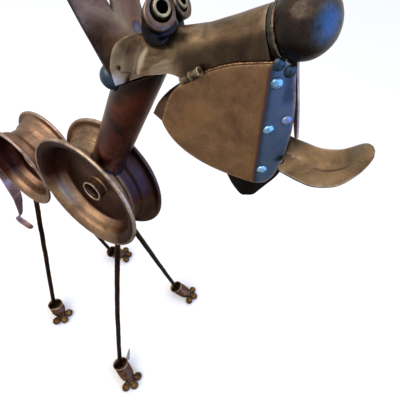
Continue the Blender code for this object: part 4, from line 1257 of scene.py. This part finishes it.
lugShape = {"start": Vector((0.1846, 0, 0.9208)), "out": 0.0051, "axis": Vector((0.0196, 0, 0.0168)),
            "outline": ((0.0002, 0, 0), (0.0042, 0, 0.0010), (0.0042, 0.0125, 0.0006),
                        (0.0049, 0.0130, 0.0006), (0.0047, 0.0250, 0.0009), (0.0002, 0.0250, 0))}


def makeLug(word, side):
    start = lugShape["start"] + side * (jowlShape["side"] + lugShape["out"]) * leftward
    bm = bmesh.new()
    turned(bm, rounded(lugShape["outline"], 0.0015), start, lugShape["axis"], 40)
    dented(bm, 0.0007, 0.0035, 7.7 * side)
    makePiece("stud" + word.title(), bm, lugSteel, ("lug_" + word,), sharp=60)


makeJaw()
makeTongue()
makeLug("right", -1)
makeLug("left", 1)
print("jaw, tongue and studs made")


# legs and paws: rods down to tapered cups that end in a knuckle with three ball toes
legShape = {"rod": 0.006, "wobble": 0.0011, "wobbleSize": 0.05, "rodSteps": 60, "cupMouth": 0.0215,
            "cupWall": 0.0026, "cupDepth": 0.0075, "cupTilt": 0.010, "cupSideCount": 56,
            "cupSides": ((0, 0.0215), (0.60, 0.0210), (0.80, 0.0192), (0.93, 0.0165), (1, 0.0140)),
            "groove": 0.0009, "grooveEnd": 0.0065, "knuckle": 0.0140, "knuckleHeight": 0.0150,
            "toe": 0.0117, "fan": math.radians(58), "toeFlat": 0.0008}
# name, side, then top and ankle and knuckle places, the rod's bow and the cup's shift
legs = (("front_right", -1, (0.0500, 0.0165), (0.1070, 0.1400, 0.0450), (0.1500, 0.1515), -0.0065, 0),
        ("front_left", 1, (0.0450, 0.0165), (0.1030, 0.1590, 0.0420), (0.1490, 0.1725), -0.0030, 0),
        ("rear_right", -1, (-0.2214, 0.0140), (-0.1960, 0.1215, 0.0450), (-0.1645, 0.1290), 0, 0.0060),
        ("rear_left", 1, (-0.2180, 0.0180), (-0.1780, 0.1350, 0.0450), (-0.1500, 0.1610), 0, 0))


def legTop(x, side, front):
    _, _, radius, halfWidth, centre, _, _, _ = rims[0 if front else 1]
    reach = wellRadius(radius, halfWidth, abs(side) + legShape["rod"])
    across = max(0, abs(x - centre.x) - legShape["rod"])
    return Vector((x, side, centre.z - math.sqrt(reach**2 - across**2) - 0.0010))


def makeLeg(name, side, topSpot, ankleSpot, knuckleSpot, bow, cupShift):
    s = legShape
    word = name.title().replace("_", "")
    top = legTop(topSpot[0], side * topSpot[1], name.startswith("front"))
    ankle = Vector((ankleSpot[0], side * ankleSpot[1], ankleSpot[2]))
    mouth = ankle + Vector((cupShift, 0, 0))
    knuckle = Vector((knuckleSpot[0], side * knuckleSpot[1], s["knuckleHeight"]))
    length = (knuckle - mouth).length
    path = []
    for k in range(s["rodSteps"] + 1):
        t = k / s["rodSteps"]
        point = top + t * (ankle - top) + 4 * t * (1 - t) * Vector((bow, 0, 0))
        drift = Vector((noise.noise(point / s["wobbleSize"]),
                        noise.noise(point / s["wobbleSize"] + Vector((5, 5, 5))), 0))
        path.append(point + s["wobble"] * math.sin(math.pi * t) * drift)
    direction = (path[-1] - path[-3]).normalized()
    path.append(ankle + 0.004 * direction)
    bm = bmesh.new()
    tube(bm, path, lambda t: s["rod"] * (1 - 0.10 * max(0, 1 - t / 0.01)), 24)
    dented(bm, 0.0005, 0.009, 2 * length + bow)
    sprayed(bm, [top], 0.02, "temper", 0.6)
    makePiece("rod" + word, bm, rodSteel, ("leg_" + name,), sharp=50)
    ring = circle(path[0] + 0.0012 * direction, *frameAlong(direction), s["rod"] + 0.0006, 24)
    bead("weldRodTop" + word, ring, 0.0022, brownWeldSteel, closed=True)
    cupAxis = (knuckle - mouth).normalized()
    across, cupUp = frameAlong(cupAxis)
    if cupUp.z < 0:
        across, cupUp = -across, -cupUp
    makePaw(name, word, mouth, cupAxis, across, cupUp, length)
    makeToes(name, word, knuckle, math.atan2(cupAxis.y, cupAxis.x))
    if name == "front_right":
        makeSpur(mouth, cupAxis, across, cupUp)


def makePaw(name, word, mouth, cupAxis, across, cupUp, length):
    s = legShape
    sides, wall, depth, tilt = s["cupSideCount"], s["cupWall"], s["cupDepth"], s["cupTilt"]
    groove, start = s["groove"], s["grooveEnd"]
    # how far along each ring lies, how far in from the cup's side, and its tilt, from the well out
    places = [(depth, 3 * wall, 0), (depth - 0.001, wall + 0.0008, 0), (0.6 * depth, wall, 0.4 * tilt),
              (0.0012, wall, tilt), (0.0003, 0.72 * wall, tilt), (0, 0.5 * wall, tilt),
              (0.0003, 0.28 * wall, tilt), (0.0012, 0, tilt), (0.0045, 0.0001, tilt),
              (0.0055, groove, 0.95 * tilt), (start, groove, 0.9 * tilt)]
    for k in range(1, 15):
        t = k / 14
        places.append((start + t * (length - start), groove * (1 - t), 0.9 * tilt * (1 - t)))
    rings = []
    for along, inset, lean in places:
        ring = []
        for i in range(sides):
            angle = 2 * math.pi * i / sides
            place = along + lean * math.sin(angle)
            radius = readCurve(s["cupSides"], place / length)[0] - inset
            ring.append(mouth + place * cupAxis
                        + radius * (math.cos(angle) * across + math.sin(angle) * cupUp))
        rings.append(ring)
    for degrees in range(12, 88, 12):
        angle = math.radians(degrees)
        rings.append(circle(mouth + (length + s["knuckle"] * math.sin(angle)) * cupAxis, across, cupUp,
                            s["knuckle"] * math.cos(angle), sides))
    bm = bmesh.new()
    on = layersOf(bm)
    for k, loop in enumerate(loft(bm, rings)):
        for vertex in loop:
            # bright lip, dark well and groove
            vertex[on.wear] = 0.9 if 3 <= k <= 8 else 0
            vertex[on.grime] = 0.9 if k < 3 else 0.5 if k in (9, 10) else 0
    dented(bm, 0.0008, 0.010, length * 31)
    makePiece("cup" + word, bm, pawSteel, ("paw_" + name,), sharp=60)


def makeToes(name, word, knuckle, heading):
    s = legShape
    height = s["toe"] - s["toeFlat"]
    spread = math.sqrt((s["knuckle"] + s["toe"])**2 - (s["knuckleHeight"] - height)**2)
    for number in (1, 2, 3):
        angle = heading + (number - 2) * s["fan"]
        spot = Vector((knuckle.x + spread * math.cos(angle), knuckle.y + spread * math.sin(angle),
                       height))
        bm = bmesh.new()
        bmesh.ops.create_uvsphere(bm, u_segments=36, v_segments=22, radius=s["toe"],
                                  matrix=Matrix.Translation(spot))
        dented(bm, 0.0005, 0.007, number + heading)
        for vertex in bm.verts:
            vertex.co.z = max(vertex.co.z, 0)
        makePiece("toe%s%d" % (word, number), bm, toeSteel, ("toe_%s_%d" % (name, number),),
                  sharp=80)
        away = (knuckle - spot).normalized()
        bead("weldToe%s%d" % (word, number), circle(spot + 0.0102 * away, *frameAlong(away), 0.0058, 20),
             0.0020, brownWeldSteel, closed=True, pitch=0.003)


spurShape = {"length": 0.031, "turn": math.radians(15), "gap": 0.0010, "along": 0.006, "width": 0.0056,
             "thick": 0.0016, "way": Vector((-0.42, 0.80, 0.42)), "faces": Vector((0.3, -0.6, 0.75))}


def makeSpur(mouth, cupAxis, across, cupUp):
    # a flat blade with a pointed tip, stood on the cup's lip
    s = spurShape
    lean = math.sin(s["turn"]) * cupUp + math.cos(s["turn"]) * across
    foot = mouth + s["along"] * cupAxis + (legShape["cupMouth"] + s["gap"]) * lean
    way = s["way"].normalized()
    flat = way.cross(s["faces"]).normalized()
    thin = way.cross(flat)
    rings = []
    for k in range(13):
        t = k / 12
        width, thick = s["width"] * (1 - 0.8 * t**1.3), s["thick"] * (1 - 0.5 * t)
        middle = foot + t * s["length"] * way
        rings.append([middle + width * math.cos(a) * flat + thick * math.sin(a) * thin
                      for a in (2 * math.pi * i / 16 for i in range(16))])
    bm = bmesh.new()
    loft(bm, rings)
    dented(bm, 0.0003, 0.004, 1)
    makePiece("spurBlade", bm, spurSteel, ("spur",), sharp=60)


for leg in legs:
    makeLeg(*leg)
print("legs and paws made")


# tail: a flat strip down from the rear rim, its end turned forward
tailShape = {"sheet": 0.0035,
             # along the middle of the strip: ahead, height and half width
             "curve": ((-0.2722, 0.5606, 0.0090), (-0.3080, 0.5440, 0.0104), (-0.3420, 0.5150, 0.0128),
                       (-0.3720, 0.4750, 0.0145), (-0.3900, 0.4300, 0.0150), (-0.3850, 0.3950, 0.0150),
                       (-0.3824, 0.3653, 0.0146), (-0.3850, 0.3350, 0.0132), (-0.4009, 0.2882, 0.0104),
                       (-0.4192, 0.2394, 0.0064), (-0.4384, 0.2088, 0.0055), (-0.4590, 0.1870, 0.0070),
                       (-0.4610, 0.1760, 0.0086), (-0.4490, 0.1695, 0.0094), (-0.4257, 0.1681, 0.0094),
                       (-0.4020, 0.1705, 0.0088), (-0.3935, 0.1718, 0.0066), (-0.3900, 0.1722, 0.0030))}


def makeTail():
    line = smoothCurve(tailShape["curve"], 6)
    bm = bmesh.new()
    on = layersOf(bm)
    rows = []
    for k in range(7):
        share = k / 6 * 2 - 1
        row = []
        for x, z, half in line:
            vertex = bm.verts.new((x, share * half, z))
            vertex[on.wear] = 0.8 if k in (0, 6) else 0
            vertex[on.grime] = 0.6 * eased(-0.412, -0.395, x) * eased(0.20, 0.18, z)
            row.append(vertex)
        rows.append(row)
    plated(bm, rows, tailShape["sheet"], Vector((-1, 0, 0)))
    dented(bm, 0.0008, 0.03, 6.2)
    makePiece("tailStrip", bm, tailSteel, ("tail",), sharp=50, edgeRound=0.0008)


makeTail()
print("tail made")
